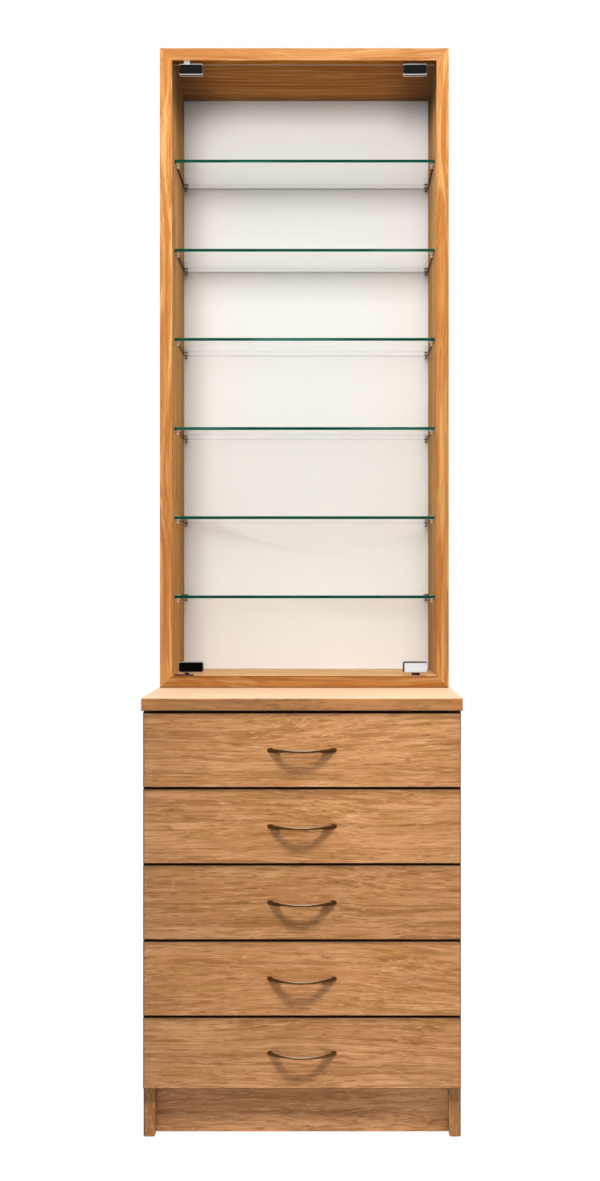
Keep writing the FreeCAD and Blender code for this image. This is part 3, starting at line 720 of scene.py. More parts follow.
@dataclass(frozen=True)
class ChampagneHandle:
    """Die-cast zinc, plated in champagne and lacquered satin; painted shade browns its ends and underside.

    Where the painted shade of the ends and the feet starts and is full is told as shares of half the length.
    """

    name: str
    bright: str
    shade_tone: str
    half_length: float
    ends: tuple[float, float] = (0.15, 0.75)
    end_pull: float = 0.60
    feet: tuple[float, float] = (0.80, 0.93)
    foot_pull: float = 1.2
    shade_turn: tuple[float, float] = (0.25, -0.10)
    lines: Streaks = Streaks(0.8, 30.0)
    line_share: float = 0.12
    line_roughness: float = 0.10
    roughness: float = 0.27
    metallic: float = 0.9
    relief: float = 0.05
    relief_depth: float = 0.0001

    def make(self) -> Material:
        """Builds the material.

        Returns:
            The material.
        """
        material, tree, output = new_material(self.name)
        place = add_node(tree, "ShaderNodeTexCoord").outputs
        upward = add_node(tree, "ShaderNodeSeparateXYZ", {"Vector": place["Normal"]}).outputs["Z"]
        where = add_node(tree, "ShaderNodeSeparateXYZ", {"Vector": place["Object"]}).outputs
        outward = add_node(tree, "ShaderNodeMath", {0: where["X"]}, operation="ABSOLUTE").outputs[0]
        # Painted shade: near the ends and the feet, faces count as turned further down, so they turn brown
        for (start, full), pull in ((self.ends, self.end_pull), (self.feet, self.foot_pull)):
            half = self.half_length
            inputs = {"Value": outward, "From Min": half * start, "From Max": half * full}
            node = add_node(tree, "ShaderNodeMapRange", inputs, interpolation_type="SMOOTHSTEP")
            inputs = {0: node.outputs[0], 1: -pull, 2: upward}
            upward = add_node(tree, "ShaderNodeMath", inputs, operation="MULTIPLY_ADD").outputs[0]
        low, high = self.shade_turn
        inputs = {"Value": upward, "From Min": low, "From Max": high}
        shown = add_node(tree, "ShaderNodeMapRange", inputs, interpolation_type="SMOOTHSTEP").outputs[0]
        lines = self.lines.value(tree, Grain.ALONG_X, place["Object"])
        inputs = {0: lines, 1: self.line_share, 2: shown}
        shown = add_node(tree, "ShaderNodeMath", inputs, operation="MULTIPLY_ADD").outputs[0]
        colour = layered(tree, srgb(self.bright), [(shown, srgb(self.shade_tone))])
        inputs = {0: lines, 1: self.line_roughness, 2: self.roughness}
        rough = add_node(tree, "ShaderNodeMath", inputs, operation="MULTIPLY_ADD").outputs[0]
        inputs = {"Height": lines, "Strength": self.relief, "Distance": self.relief_depth}
        bump = add_node(tree, "ShaderNodeBump", inputs).outputs["Normal"]
        inputs = {"Base Color": colour, "Metallic": self.metallic, "Roughness": rough, "Normal": bump}
        surface = add_node(tree, "ShaderNodeBsdfPrincipled", inputs)
        tree.links.new(surface.outputs["BSDF"], output.inputs["Surface"])
        return material


# The case's oak is golden, warmer than the chest's
CASE_FIGURE = (
    Layer(Streaks(9.0, 420.0, 2.0), 0.42, 0.60, 0.70, "#AC6830"),
    Layer(Streaks(7.5, 520.0, 2.0), 0.52, 0.64, 0.62, "#DCAC6C"),
    Layer(Streaks(3.4, 130.0, 3.0, 0.6), 0.50, 0.68, 0.34, "#955A28"),
    Layer(Streaks(3.2, 95.0, 3.0, 0.6), 0.52, 0.68, 0.36, "#D4A063"),
    Layer(Streaks(2.2, 30.0, 1.0), 0.60, 0.72, 0.28, "#74451B"),
)
CASE_OAK = OakVeneer("case_oak", "#C68B50", "#B87A40", "#915C2F", CASE_FIGURE, gloss=0.0)
# Painted light: the wide faces inside the case are lightened and paled beside the edges in front
CASE_SIDE_OAK = replace(
    CASE_OAK, name="case_side_oak", face_light_gain=(1.6, 1.9, 2.2), edge_light_gain=(1.05, 1.05, 1.03)
)
# Painted shade: the top board's wide faces are made darker and browner than its front edge, for its shaded
# underside
CASE_TOP_OAK = replace(
    CASE_OAK, name="case_top_oak", face_light_gain=(1.0, 0.92, 0.68), edge_light_gain=(0.90, 0.94, 1.08)
)
# Painted light: the floor's face is made paler and less golden than its front edge, for the white back
# panel's reflection on it
CASE_FLOOR_OAK = replace(
    CASE_OAK, name="case_floor_oak", face_light_gain=(1.95, 2.72, 4.7), edge_light_gain=(0.65, 0.61, 0.58)
)
# The chest's oak is browner. The dark lips where one front meets the next are painted shade in the gaps
CHEST_OAK = OakVeneer(
    "chest_oak",
    "#AD7F56",
    "#9B6C45",
    "#60493B",
    oak_figure("#754C23", "#936A3A", "#BC9168", "#5B391C"),
    gap_shade_above=True,
    gap_shade_below=True,
)
# Seen along its face, the lacquered worktop has a white haze. Painted light: its top is made paler than its
# front edge, which the gains darken
WORKTOP_OAK = replace(
    CHEST_OAK,
    name="worktop_oak",
    light="#C8966A",
    middle="#B88458",
    gloss=0.5,
    haze=0.9,
    haze_colour="#FFE2BE",
    gap_shade_above=False,
    edge_light_gain=(0.59, 0.5, 0.33),
)
SIDE_OAK = replace(
    CHEST_OAK, name="side_oak", light="#93663E", middle="#83562F", gap_shade_above=False, gap_shade_below=False
)
# Clear-lacquered birch of the drawer boxes: pale, with a weak figure
CARCASS_BIRCH = OakVeneer(
    "carcass_birch", "#DCC198", "#D2B384", "#A57F50", oak_figure("#C09C68", "#D0AE7E", "#E6CFA8", "#B08C5C")
)
# Painted shade: a nearly black board behind the gap under the worktop, which keeps the gap dark
GAP_SHADE_BOARD = OakVeneer(
    "gap_shade_board",
    "#20150E",
    "#1B120C",
    "#160E09",
    oak_figure("#160E09", "#1C130D", "#281B12", "#110A06"),
    roughness=0.6,
)
WHITE_PANEL = LacqueredPanel("white_panel", "#D9D5D1", "#D5D1CC")
# Painted shade: the drawer bottoms are a darker copy of the white panel, for the shade inside the drawers
SHADED_DRAWER_PANEL = LacqueredPanel("shaded_drawer_panel", "#B2ADA6", "#ADA8A0")
# The front edge of a shelf is deep green. Its side edges carry painted shade, a near-black brown for the gap
# beside the side board, and its rear edge a grey painted shadow line
SHELF_GLASS = FloatGlass(
    "shelf_glass",
    tint="#FFFFFF",
    deep="#003D2D",
    pale="#1A6855",
    side="#2A1808",
    rear="#7A7C76",
    front_cover=1.0,
    rear_cover=0.45,
    rear_from=0.15,
    arris_from=0.2694,
)
# The door's edges catch the white room, and its faces hardly mirror it
DOOR_GLASS = FloatGlass(
    "door_glass",
    tint="#FDFFFE",
    deep="#D9CDBB",
    pale="#DED6C8",
    side="#B5AFA0",
    rear="#B5AFA0",
    front_cover=0.7,
    rear_cover=0.3,
    rear_from=1.0,
    mirror=0.004,
)
# Nickel plate, bright on the front clips. The rear ones get painted shade, a dull brown, for the shade that
# they stand in
NICKEL = Metal("bright_nickel", "#FAF8F6", "#F0ECEA", rear_shade="#7A6C58")
# Rolled steel with a zinc coat: a cool grey with lines along the slide
ZINC_STEEL = Metal("zinc_plated_steel", "#C2C6C9", "#A9AEB2", grain=Grain.ALONG_Y)
# The clips are black with pale painted reflections on their bevels, all but the lower strike, whose face is
# pale
BLACK_CHROME = BevelledChrome(
    "black_chrome", "#060607", "#FFFFFF", "#E6DED4", "#3A332D", "#5C544C", 0.5, 0.3
)
DEEP_BLACK = BevelledChrome("deep_black", "#020302", "#A9A0A8", "#C9B8B4", "#0A0A0A", "#3A3632", 0.5, 0.05)
BRIGHT_CHROME = BevelledChrome(
    "bright_chrome", "#C6CAD0", "#060505", "#D0D0D2", "#060505", "#D6D8DC", 0.35, 0.06, line=(0.065, 0.13)
)
PALE_NYLON = MouldedPlastic("pale_nylon", "#DEDAD3", "#D5D0C7")
BROWN_NYLON = MouldedPlastic("brown_nylon", "#4A2F1C", "#3C2516")
RUSSET_NYLON = MouldedPlastic("russet_nylon", "#3C1C14", "#2E140E")
BLACK_NYLON = MouldedPlastic("black_nylon", "#161312", "#0F0D0C")
HANDLE_METAL = ChampagneHandle("champagne_handle", "#D8BA96", "#5A3C1A", 0.0655)

SHELF_NUMBERS = range(1, 7)
DRAWER_NUMBERS = range(1, 6)


def dress(node: str, material: Material) -> None:
    """Gives a CAD node its material, in every slot that it has.

    Args:
        node: The node's name.
        material: Its finish.
    """
    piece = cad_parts[node]
    if not piece.material_slots:
        piece.data.materials.append(material)
    for place in piece.material_slots:
        place.material = material


def place_mesh(mesh: Mesh, name: str, material: Material, smooth: bool) -> bpy.types.Object:
    """Turns a built mesh into an object of the scene.

    Args:
        mesh: The built mesh, which is used up.
        name: The new object's name.
        material: Its finish.
        smooth: True to shade it smoothly.

    Returns:
        The new object.
    """
    data = bpy.data.meshes.new(name)
    bmesh.ops.recalc_face_normals(mesh, faces=mesh.faces)
    mesh.to_mesh(data)
    mesh.free()
    data.materials.append(material)
    for face in data.polygons:
        face.use_smooth = smooth
    piece = bpy.data.objects.new(name, data)
    bpy.context.scene.collection.objects.link(piece)
    return piece


def loft(mesh: Mesh, rings: list[list[tuple[float, float, float]]], closed: bool = False) -> None:
    """Skins a row of rings that have equally many points.

    Args:
        mesh: The mesh that gets the faces.
        rings: The rings, from the first to the last.
        closed: True to skin from the last ring back to the first, and False to cap both ends.
    """
    rows = [[mesh.verts.new(place) for place in ring] for ring in rings]
    count = len(rows[0])
    pairs = list(zip(rows, rows[1:])) + ([(rows[-1], rows[0])] if closed else [])
    for first, second in pairs:
        for number in range(count):
            after = (number + 1) % count
            mesh.faces.new((first[number], first[after], second[after], second[number]))
    if not closed:
        mesh.faces.new(rows[0])
        mesh.faces.new(rows[-1])


def rounded_outline(
    half_wide: float, half_deep: float, corner: float, steps: int = 4
) -> list[tuple[float, float]]:
    """Lists the points of a rectangle with rounded corners, once round its middle.

    Args:
        half_wide: Half its width.
        half_deep: Half its depth.
        corner: The radius of its corners.
        steps: How many sides round off a corner.

    Returns:
        The points.
    """
    points = []
    for quarter, (way_x, way_y) in enumerate(((1, 1), (-1, 1), (-1, -1), (1, -1))):
        for step in range(steps + 1):
            turn = math.pi / 2 * (quarter + step / steps)
            across = way_x * (half_wide - corner) + corner * math.cos(turn)
            deep = way_y * (half_deep - corner) + corner * math.sin(turn)
            points.append((across, deep))
    return points


@dataclass
class HingeBush:
    """The moulded bush of the upper hinge: a flange on the board, and a washer on the clamp."""

    half_wide: float = 0.0062
    half_deep: float = 0.0044
    corner: float = 0.0012
    flange_height: float = 0.0015
    washer_height: float = 0.0019
    bore_radius: float = 0.0031
    edge: float = 0.0003

    def plate(self, mesh: Mesh, middle: Vector, low: float, high: float) -> None:
        """Adds one bored plate with eased edges.

        Args:
            mesh: The mesh that gets the plate.
            middle: The bush's middle.
            low: The plate's underside.
            high: Its top.
        """
        outline = rounded_outline(self.half_wide, self.half_deep, self.corner)
        turns = [math.atan2(y, x) for x, y in outline]
        bore = [(self.bore_radius * math.cos(turn), self.bore_radius * math.sin(turn)) for turn in turns]
        eased = rounded_outline(self.half_wide - self.edge, self.half_deep - self.edge, self.corner)
        levels = (
            (bore, low),
            (eased, low),
            (outline, low + self.edge),
            (outline, high - self.edge),
            (eased, high),
            (bore, high),
        )
        rings = [[(middle.x + x, middle.y + y, height) for x, y in points] for points, height in levels]
        loft(mesh, rings, True)

    def build(self, material: Material) -> bpy.types.Object:
        """Builds the bush in place of its plain solid.

        Args:
            material: The bush's finish.

        Returns:
            The bush.
        """
        low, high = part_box("hinge_bush_top")
        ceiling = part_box("upper_top")[0].z
        middle = (low + high) / 2
        mesh = bmesh.new()
        self.plate(mesh, middle, ceiling - self.flange_height, ceiling)
        self.plate(mesh, middle, low.z, low.z + self.washer_height)
        bush = place_mesh(mesh, "pivot_bush", material, False)
        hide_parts("hinge_bush_top")
        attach(bush, "carcass")
        log.info("pivot bush built")
        return bush


@dataclass
class ShelfSupports:
    """The clips that hold the shelves: a pin in the side board, two jaws on the glass and a clamp screw."""

    reach: float = 0.011
    length: float = 0.012
    side_gap: float = 0.001
    glass: float = 0.006
    glass_fit: float = 0.0001
    jaw_height: float = 0.0014
    corner: float = 0.0022
    edge: float = 0.0004
    pin_radius: float = 0.0025
    pin_length: float = 0.009
    pin_root: float = 0.0005
    pin_chamfer: float = 0.0008
    stem_radius: float = 0.0017
    head_radius: float = 0.0039
    head_height: float = 0.0019
    screw_length: float = 0.0069
    socket_radius: float = 0.0014
    socket_foot: float = 0.0012
    socket_depth: float = 0.0009
    round_count: int = 20

    def jaw(self, mesh: Mesh, corner: Vector, way: int, low: float, high: float) -> None:
        """Adds one jaw, a plate with rounded corners and eased edges.

        Args:
            mesh: The mesh that gets the jaw.
            corner: The middle of the clip's contact with the side board.
            way: 1 where the clip points to the right, and -1 to the left.
            low: The jaw's underside.
            high: Its upper side.
        """
        middle = corner.x + way * self.reach / 2
        across = self.reach / 2
        deep = self.length / 2
        full = rounded_outline(across, deep, self.corner)
        eased = rounded_outline(across - self.edge, deep - self.edge, self.corner - self.edge)
        levels = ((eased, low), (full, low + self.edge), (full, high - self.edge), (eased, high))
        loft(mesh, [[(middle + x, corner.y + y, height) for x, y in points] for points, height in levels])

    def rod(
        self, mesh: Mesh, stations: list[tuple[Vector, float]], first: Vector, second: Vector
    ) -> None:
        """Adds a round rod through stations along its axis.

        Args:
            mesh: The mesh that gets the rod.
            stations: Each station's middle and radius.
            first: One way across the rod.
            second: The other way across it.
        """
        rings = []
        for middle, radius in stations:
            turns = [2 * math.pi * number / self.round_count for number in range(self.round_count)]
            points = [middle + radius * (math.cos(turn) * first + math.sin(turn) * second) for turn in turns]
            rings.append([tuple(point) for point in points])
        loft(mesh, rings)

    def clip(self, mesh: Mesh, corner: Vector, way: int) -> None:
        """Adds one clip.

        Args:
            mesh: The mesh that gets the clip.
            corner: Where the shelf's upper face meets the side board, at the clip's middle.
            way: 1 where the clip points to the right, and -1 to the left.
        """
        under = corner.z - self.glass
        self.jaw(mesh, corner, way, corner.z, corner.z + self.jaw_height)
        self.jaw(mesh, corner, way, under - self.jaw_height, under)
        half = self.length / 2 - self.corner
        inner = corner.x + way * (self.side_gap - self.glass_fit)
        front = corner.y - half
        rear = corner.y + half
        plan = [(corner.x, front), (inner, front), (inner, rear), (corner.x, rear)]
        heights = (under - self.edge, corner.z + self.edge)
        loft(mesh, [[(x, y, height) for x, y in plan] for height in heights])
        along = Vector((-way, 0, 0))
        start = Vector((corner.x + way * self.pin_root, corner.y, corner.z - self.glass / 2))
        tip = start + along * (self.pin_length - self.pin_root)
        pin = [
            (start, self.pin_radius),
            (tip, self.pin_radius),
            (tip + along * self.pin_chamfer, self.pin_radius - self.pin_chamfer),
        ]
        self.rod(mesh, pin, Vector((0, 1, 0)), Vector((0, 0, 1)))
        across = corner.x + way * (self.side_gap + self.reach) / 2
        head = Vector((across, corner.y, under - self.jaw_height + self.edge))
        down = Vector((0, 0, -1))
        low = head + down * self.screw_length
        rim = low - down * self.head_height
        screw = [
            (head, self.stem_radius),
            (rim, self.stem_radius),
            (rim, self.head_radius - self.edge),
            (rim + down * self.edge, self.head_radius),
            (low - down * self.edge, self.head_radius),
            (low, self.head_radius - self.edge),
            (low, self.socket_radius),
            (low - down * self.socket_depth, self.socket_foot),
        ]
        self.rod(mesh, screw, Vector((1, 0, 0)), Vector((0, 1, 0)))

    def build(self, material: Material) -> bpy.types.Object:
        """Builds the clips of all shelves in place of their plain solids.

        Args:
            material: The clips' finish.

        Returns:
            The clips, as one object.
        """
        mesh = bmesh.new()
        low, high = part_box("shelf_supports")
        rows = (low.y + self.length / 2, high.y - self.length / 2)
        for number in SHELF_NUMBERS:
            glass_low, glass_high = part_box(f"glass_shelf_{number}")
            for row in rows:
                self.clip(mesh, Vector((glass_low.x - self.side_gap, row, glass_high.z)), 1)
                self.clip(mesh, Vector((glass_high.x + self.side_gap, row, glass_high.z)), -1)
        clips = place_mesh(mesh, "shelf_clips", material, False)
        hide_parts("shelf_supports")
        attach(clips, "carcass")
        log.info("shelf clips built")
        return clips


@dataclass
class DisplayCase:
    """The glazed case: mitred boards, back panel, shelves on clips, door and its fittings.

    Each pair of lengths tells where a band of painted shade starts and where it is full. The bands
    under_top and brow are measured down from the top board and from the floor's upper face. The pairs
    of strengths are for the left and the right side board.
    """

    lit_depth: float = 0.04
    rear_strength: float = 0.4
    dim_from: float = 1.65
    dim_strengths: tuple[float, float] = (0.12, 0.26)
    under_top: tuple[float, float] = (0.13, 0.03)
    under_strengths: tuple[float, float] = (0.6, 0.8)
    side_shift: float = 3.1
    corner_depth: float = 0.05
    top_ends: tuple[float, float] = (0.16, 0.26)
    end_strength: float = 0.5
    top_shift: float = 7.7
    foot_height: float = 0.006
    foot_strength: float = 0.35
    brow: tuple[float, float] = (0.005, 0.001)
    brow_strength: float = 0.3
    floor_rear: tuple[float, float] = (0.03, 0.10)
    floor_strength: float = 0.22
    floor_shift: float = 10.0
    shadowing_shelves: int = 2

    def boards(self) -> None:
        """Dresses the oak boards, each with painted shade towards the case's corners, and the back panel."""
        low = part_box("upper_side_left")[0]
        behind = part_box("upper_back")[0].y
        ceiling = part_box("upper_top")[0].z
        # Painted shade on the side boards: darker towards the back, low down and just under the top board
        deep = PaintedShade(Grain.ALONG_Y, low.y + self.lit_depth, behind, self.rear_strength)
        start, full = (ceiling - drop for drop in self.under_top)
        for number, node in enumerate(("upper_side_left", "upper_side_right")):
            inward = 1 - 2 * number
            dim = PaintedShade(Grain.ALONG_Z, self.dim_from, low.z, self.dim_strengths[number])
            under = PaintedShade(Grain.ALONG_Z, start, full, self.under_strengths[number], facing=inward)
            oak = CASE_SIDE_OAK.make(Grain.ALONG_Z, self.side_shift * number, shades=(deep, dim, under))
            dress(node, oak)
        # Painted shade on the top board, in its rear corner and at the ends of its underside
        corner = PaintedShade(Grain.ALONG_Y, behind - self.corner_depth, behind, self.rear_strength)
        start, full = self.top_ends
        ends = [
            PaintedShade(Grain.ALONG_X, way * start, way * full, self.end_strength, facing=-1) for way in (-1, 1)
        ]
        dress("upper_top", CASE_TOP_OAK.make(Grain.ALONG_X, self.top_shift, shades=(corner, *ends)))
        # Painted shade on the floor board, at the foot of its front, along its upper edge and towards the
        # back
        foot = PaintedShade(Grain.ALONG_Z, low.z + self.foot_height, low.z, self.foot_strength)
        floor_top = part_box("upper_bottom")[1].z
        start, full = (floor_top - drop for drop in self.brow)
        brow = PaintedShade(Grain.ALONG_Z, start, full, self.brow_strength)
        rear = PaintedShade(Grain.ALONG_Y, *self.floor_rear, self.floor_strength)
        oak = CASE_FLOOR_OAK.make(Grain.ALONG_X, self.floor_shift, shades=(foot, brow, rear))
        dress("upper_bottom", oak)
        dress("upper_back", WHITE_PANEL.make())

    def glass(self) -> None:
        """Dresses the shelves and the door. Only the lowest shelves dim the case below with a shadow."""
        shelf_glass = SHELF_GLASS.make(PaneFaces.ACROSS_Z)
        shelves = [f"glass_shelf_{number}" for number in SHELF_NUMBERS]
        for shelf in shelves:
            dress(shelf, shelf_glass)
        dress("door_glass", DOOR_GLASS.make(PaneFaces.ACROSS_Y))
        for pane in ["door_glass", *shelves[: -self.shadowing_shelves]]:
            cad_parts[pane].visible_shadow = False

    def fittings(self) -> None:
        """Dresses the door's clips, hinge and catches, and builds the bush and the shelf clips."""
        ShelfSupports().build(NICKEL.make())
        chrome = BLACK_CHROME.make()
        for node in ("hinge_clamp_top", "strike_clip_top"):
            dress(node, chrome)
        dress("hinge_clamp_bottom", DEEP_BLACK.make())
        dress("strike_clip_bottom", BRIGHT_CHROME.make())
        dress("hinge_base_bottom", RUSSET_NYLON.make())
        HingeBush().build(PALE_NYLON.make())
        dress("magnetic_catch_top", BROWN_NYLON.make())
        dress("magnetic_catch_bottom", BLACK_NYLON.make())
        dress("case_screws", ZINC_STEEL.make())

    def build(self) -> None:
        """Dresses the case's nodes."""
        self.boards()
        self.glass()
        self.fittings()
        log.info("display case dressed")


@dataclass
class Chest:
    """The chest: worktop, sides, plinth, rails and the slides' cabinet members.

    The worktop's veneer gets painted shade towards its ends, from the first to the second place along X.
    """

    edge_shade_width: float = 0.0016
    gap_shade_height: float = 0.0048
    gap_shade_strength: float = 0.4
    end_shade_tone: str = "#A8622C"
    right_end: tuple[float, float] = (0.235, 0.315)
    right_strength: float = 0.45
    left_end: tuple[float, float] = (-0.21, -0.31)
    left_strength: float = 0.3
    worktop_shift: float = 1.3
    side_shift: float = 5.9
    plinth_shift: float = 9.2
    bottom_shift: float = 2.2
    rail_shift: float = 4.4

    def build(self) -> None:
        """Dresses the chest's nodes."""
        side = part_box("chest_side_right")[1].x
        low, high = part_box("worktop")
        # Painted shade along the worktop's lower edge, over the gap, and towards its ends
        gap_shade = PaintedShade(Grain.ALONG_Z, low.z + self.gap_shade_height, low.z, self.gap_shade_strength)
        right_end = PaintedShade(Grain.ALONG_X, *self.right_end, self.right_strength, self.end_shade_tone)
        left_end = PaintedShade(Grain.ALONG_X, *self.left_end, self.left_strength, self.end_shade_tone)
        shades = (gap_shade, right_end, left_end)
        # Painted shade in a band at the outer ends of the worktop and the sides
        edge_shade = (high.x - 2 * self.edge_shade_width, high.x)
        dress("worktop", WORKTOP_OAK.make(Grain.ALONG_X, self.worktop_shift, edge_shade, shades=shades))
        edge_shade = (side - 2 * self.edge_shade_width, side - self.edge_shade_width)
        for number, node in enumerate(("chest_side_left", "chest_side_right")):
            dress(node, SIDE_OAK.make(Grain.ALONG_Z, self.side_shift + number, edge_shade))
        dress("plinth_board", CHEST_OAK.make(Grain.ALONG_X, self.plinth_shift))
        dress("chest_bottom", CARCASS_BIRCH.make(Grain.ALONG_X, self.bottom_shift))
        dress("top_rails", GAP_SHADE_BOARD.make(Grain.ALONG_X, self.rail_shift))
        dress("chest_back", WHITE_PANEL.make())
        dress("slide_cabinet_members", ZINC_STEEL.make())
        log.info("chest dressed")


@dataclass
class BowHandle:
    """A cast bow handle: a flattened bar on an arc, flared where it meets the drawer front."""

    projection: float = 0.033
    bar_height: float = 0.0054
    bar_thickness: float = 0.009
    end_height: float = 0.0086
    end_thickness: float = 0.019
    flare_start: float = 0.46
    flare_full: float = 0.84
    foot_start: float = 0.64
    lift: float = 0.0010
    station_count: int = 65
    outline_count: int = 28
    squareness: float = 0.5

    def outline(self) -> list[tuple[float, float]]:
        """Lists the bar's section as shares of half its thickness and height, rounded like a worn bar.

        Returns:
            Points once round, as (outward, upward) shares from -1 to 1.
        """
        points = []
        for number in range(self.outline_count):
            turn = 2 * math.pi * number / self.outline_count
            shares = [math.copysign(abs(s) ** self.squareness, s) for s in (math.cos(turn), math.sin(turn))]
            points.append((shares[0], shares[1]))
        return points

    def mesh(self, node: str) -> Mesh:
        """Sweeps the section along the arc, inside the node's box.

        Args:
            node: The CAD node that gives the handle's length and height.

        Returns:
            The closed mesh.
        """
        low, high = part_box(node)
        half = (high.x - low.x) / 2
        centre_z = (high.z + low.z) / 2
        face_y = high.y
        bow = self.projection - self.bar_thickness / 2
        end = self.end_thickness / 2
        radius = (half**2 + bow**2 - end**2) / (2 * (bow + end))
        pole_y = face_y - bow + radius
        rings = []
        for station in range(self.station_count):
            share = 2 * station / (self.station_count - 1) - 1
            rise = (abs(share) - self.flare_start) / (self.flare_full - self.flare_start)
            rise = min(max(rise, 0.0), 1.0)
            flare = rise * rise * (3 - 2 * rise)
            foot = max((abs(share) - self.foot_start) / (1 - self.foot_start), 0.0) ** 2
            thickness = self.bar_thickness + foot * (self.end_thickness - self.bar_thickness)
            height = self.bar_height + flare * (self.end_height - self.bar_height)
            middle_z = centre_z + (1 - flare) * self.lift
            ring = []
            for out, up in self.outline():
                angle = share * math.acos((pole_y - face_y) / (radius + out * end))
                distance = radius + out * thickness / 2
                across = distance * math.sin(angle)
                deep = pole_y - distance * math.cos(angle)
                ring.append((across, deep, middle_z + up * height / 2))
            rings.append(ring)
        mesh = bmesh.new()
        loft(mesh, rings)
        return mesh

    def build(self, number: int, material: Material) -> bpy.types.Object:
        """Builds one drawer's handle in place of its plain solid.

        Args:
            number: The drawer's number.
            material: The handle's finish.

        Returns:
            The handle.
        """
        node = f"drawer_{number}_handle"
        handle = place_mesh(self.mesh(node), f"bow_handle_{number}", material, True)
        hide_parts(node)
        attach(handle, f"drawer_{number}")
        return handle


@dataclass
class Drawers:
    """The five drawers with their handles and slides."""

    edge_shade_width: float = 0.0016
    shade_width: float = 0.013
    shade_strength: float = 0.4
    front_tones: tuple[float, ...] = (1.05, 1.04, 0.96, 1.10, 1.04)
    front_shift: float = 12.7
    front_step: float = 3.9
    box_step: float = 1.7

    def front(self, number: int) -> Material:
        """Makes the veneer of one drawer front, with painted shade along its upper edge, below the gap.

        Args:
            number: The drawer's number.

        Returns:
            The material.
        """
        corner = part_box(f"drawer_{number}_front")[1]
        # Painted shade in a band at the front's outer ends, and along its upper edge under the gap
        edge_shade = (corner.x - 2 * self.edge_shade_width, corner.x - self.edge_shade_width)
        shade = PaintedShade(Grain.ALONG_Z, corner.z - self.shade_width, corner.z, self.shade_strength)
        shift = self.front_shift + self.front_step * number
        return CHEST_OAK.make(Grain.ALONG_X, shift, edge_shade, self.front_tones[number - 1], (shade,))

    def build(self) -> None:
        """Dresses the drawers' nodes and builds their handles."""
        handle = BowHandle()
        handle_metal = HANDLE_METAL.make()
        steel = ZINC_STEEL.make()
        panel = SHADED_DRAWER_PANEL.make()
        for number in DRAWER_NUMBERS:
            dress(f"drawer_{number}_front", self.front(number))
            dress(f"drawer_{number}_box", CARCASS_BIRCH.make(Grain.ALONG_Y, self.box_step * number))
            dress(f"drawer_{number}_bottom", panel)
            dress(f"drawer_{number}_slide_inner", steel)
            dress(f"drawer_{number}_slide_middle", steel)
            handle.build(number, handle_metal)
            log.info("drawer %d dressed", number)


@dataclass(frozen=True)
class Softbox:
    """A rectangular lamp: where it hangs, what it faces, its sides in metres, watts and beam in degrees."""

    name: str
    place: tuple[float, float, float]
    aim: tuple[float, float, float]
    size: tuple[float, float]
    power: float
    spread: float = 180.0
    colour: str = "#FFFCF8"


LAMPS = (
    Softbox("case_glow", (0.1, -1.0, 3.1), (0.0, 0.0, 1.6), (1.0, 0.4), 4.0, colour="#EAF2FF"),
    Softbox("top_wash", (0.0, -0.5, 2.95), (0.0, 0.0, 2.0), (0.9, 0.3), 3.2, 90.0),
    Softbox("fill_front", (-0.35, -4.2, 2.4), (0.0, 0.0, 1.8), (2.2, 1.7), 21.0, 50.0, "#FCFBFF"),
    Softbox("chest_key", (0.3, -1.7, 2.75), (0.12, -0.26, 0.2), (0.75, 0.5), 6.45, 40.0),
    Softbox("rear_left", (-3.0, 2.6, 2.3), (0.0, 0.1, 1.0), (1.8, 1.4), 55.0),
    Softbox("rear_right", (3.0, 2.6, 2.3), (0.0, 0.1, 1.0), (1.8, 1.4), 55.0),
)


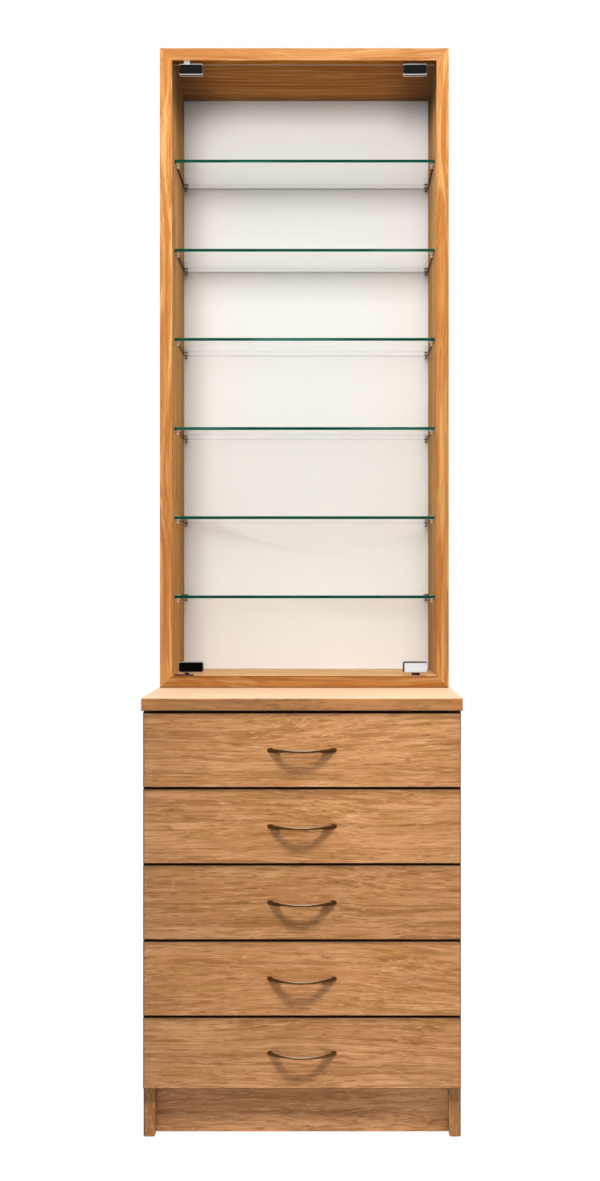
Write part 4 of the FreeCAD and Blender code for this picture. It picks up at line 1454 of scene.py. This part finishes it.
@dataclass
class Studio:
    """The camera at the photograph's viewpoint, soft lights and a pale floor.

    The floor turns white between the two lengths of the fade, measured from its middle.
    """

    camera_x: float = 0.0486
    camera_z: float = 1.040
    camera_to_worktop: float = 2.5
    camera_sees: float = 50.0
    ambient: float = 0.16
    floor_half: float = 6.0
    floor_clouds: float = 1.5
    floor_fade: tuple[float, float] = (0.35, 1.1)
    floor_white: float = 0.93
    floor_glow: float = 1.08

    def camera(self) -> None:
        """Places the camera, level and looking straight back."""
        data = bpy.data.cameras.new("photo_camera")
        data.sensor_width = SENSOR_MM
        data.lens = FOCAL_PIXELS / PHOTO_HEIGHT * SENSOR_MM
        data.shift_x = (PHOTO_WIDTH / 2 - VANISHING_X) / PHOTO_HEIGHT
        data.shift_y = (VANISHING_Y - PHOTO_HEIGHT / 2) / PHOTO_HEIGHT
        data.clip_end = self.camera_sees
        camera = bpy.data.objects.new("photo_camera", data)
        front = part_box("worktop")[0].y
        camera.location = (self.camera_x, front - self.camera_to_worktop, self.camera_z)
        camera.rotation_euler = (math.pi / 2, 0, 0)
        bpy.context.scene.collection.objects.link(camera)
        bpy.context.scene.camera = camera

    def lamp(self, softbox: Softbox) -> None:
        """Hangs a softbox that mirrors don't show.

        Args:
            softbox: The lamp's sizes, place and power.
        """
        data = bpy.data.lights.new(softbox.name, "AREA")
        data.shape = "RECTANGLE"
        data.size, data.size_y = softbox.size
        data.energy = softbox.power
        data.spread = math.radians(softbox.spread)
        data.color = srgb(softbox.colour)[:3]
        lamp = bpy.data.objects.new(softbox.name, data)
        lamp.location = softbox.place
        beam = Vector(softbox.aim) - Vector(softbox.place)
        lamp.rotation_euler = beam.to_track_quat("-Z", "Y").to_euler()
        lamp.visible_glossy = False
        bpy.context.scene.collection.objects.link(lamp)

    def surroundings(self) -> None:
        """Sets a white surrounding, full for the camera and for mirroring, and dimmer as a light."""
        world = bpy.data.worlds.new("studio_white")
        world.use_nodes = True
        tree = world.node_tree
        tree.nodes.clear()
        seen = add_node(tree, "ShaderNodeBackground", {"Color": srgb("#FFFFFF"), "Strength": 1.0})
        inputs = {"Color": srgb("#FFFCF8"), "Strength": self.ambient}
        ambient = add_node(tree, "ShaderNodeBackground", inputs)
        ray = add_node(tree, "ShaderNodeLightPath").outputs
        inputs = {0: ray["Is Camera Ray"], 1: ray["Is Glossy Ray"]}
        plain = add_node(tree, "ShaderNodeMath", inputs, operation="MAXIMUM").outputs[0]
        mix = add_node(tree, "ShaderNodeMixShader", {0: plain, 1: ambient.outputs[0], 2: seen.outputs[0]})
        output = add_node(tree, "ShaderNodeOutputWorld", {"Surface": mix.outputs[0]})
        output.is_active_output = True
        bpy.context.scene.world = world
        bpy.context.scene.view_settings.view_transform = "Standard"

    def floor(self) -> None:
        """Lays a floor that fades from a faint contact shadow to the pure white of the photograph."""
        half = self.floor_half
        mesh = bmesh.new()
        corners = ((-half, -half), (half, -half), (half, half), (-half, half))
        mesh.faces.new([mesh.verts.new((x, y, 0.0)) for x, y in corners])
        material, tree, output = new_material("studio_floor")
        place = add_node(tree, "ShaderNodeTexCoord").outputs["Object"]
        inputs = {"Vector": place, "Scale": self.floor_clouds}
        cloud = add_node(tree, "ShaderNodeTexNoise", inputs).outputs["Fac"]
        colour = layered(tree, srgb("#F8F8F8"), [(cloud, srgb("#F4F4F4"))])
        matt = add_node(tree, "ShaderNodeBsdfDiffuse", {"Color": colour})
        inputs = {"Color": srgb("#FFFFFF"), "Strength": self.floor_glow}
        white = add_node(tree, "ShaderNodeEmission", inputs)
        distance = add_node(tree, "ShaderNodeVectorMath", {0: place}, operation="LENGTH").outputs["Value"]
        start, full = self.floor_fade
        inputs = {"Value": distance, "From Min": start, "From Max": full, "To Min": self.floor_white}
        share = add_node(tree, "ShaderNodeMapRange", inputs).outputs["Result"]
        seen = add_node(tree, "ShaderNodeLightPath").outputs["Is Camera Ray"]
        fade = add_node(tree, "ShaderNodeMath", {0: share, 1: seen}, operation="MULTIPLY").outputs[0]
        surface = add_node(tree, "ShaderNodeMixShader", {0: fade, 1: matt.outputs[0], 2: white.outputs[0]})
        tree.links.new(surface.outputs[0], output.inputs["Surface"])
        place_mesh(mesh, "studio_floor", material, False)

    def build(self) -> None:
        """Builds the camera, lamps, surroundings and floor."""
        self.camera()
        for softbox in LAMPS:
            self.lamp(softbox)
        self.surroundings()
        self.floor()
        log.info("studio ready")


def main() -> None:
    """Builds the cabinet's looks round the frame, then the studio."""
    logging.basicConfig(level=logging.INFO, format="%(name)s: %(message)s")
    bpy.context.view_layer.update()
    for part in (Studio(), DisplayCase(), Chest(), Drawers()):
        part.build()


if __name__ == "__main__":
    main()
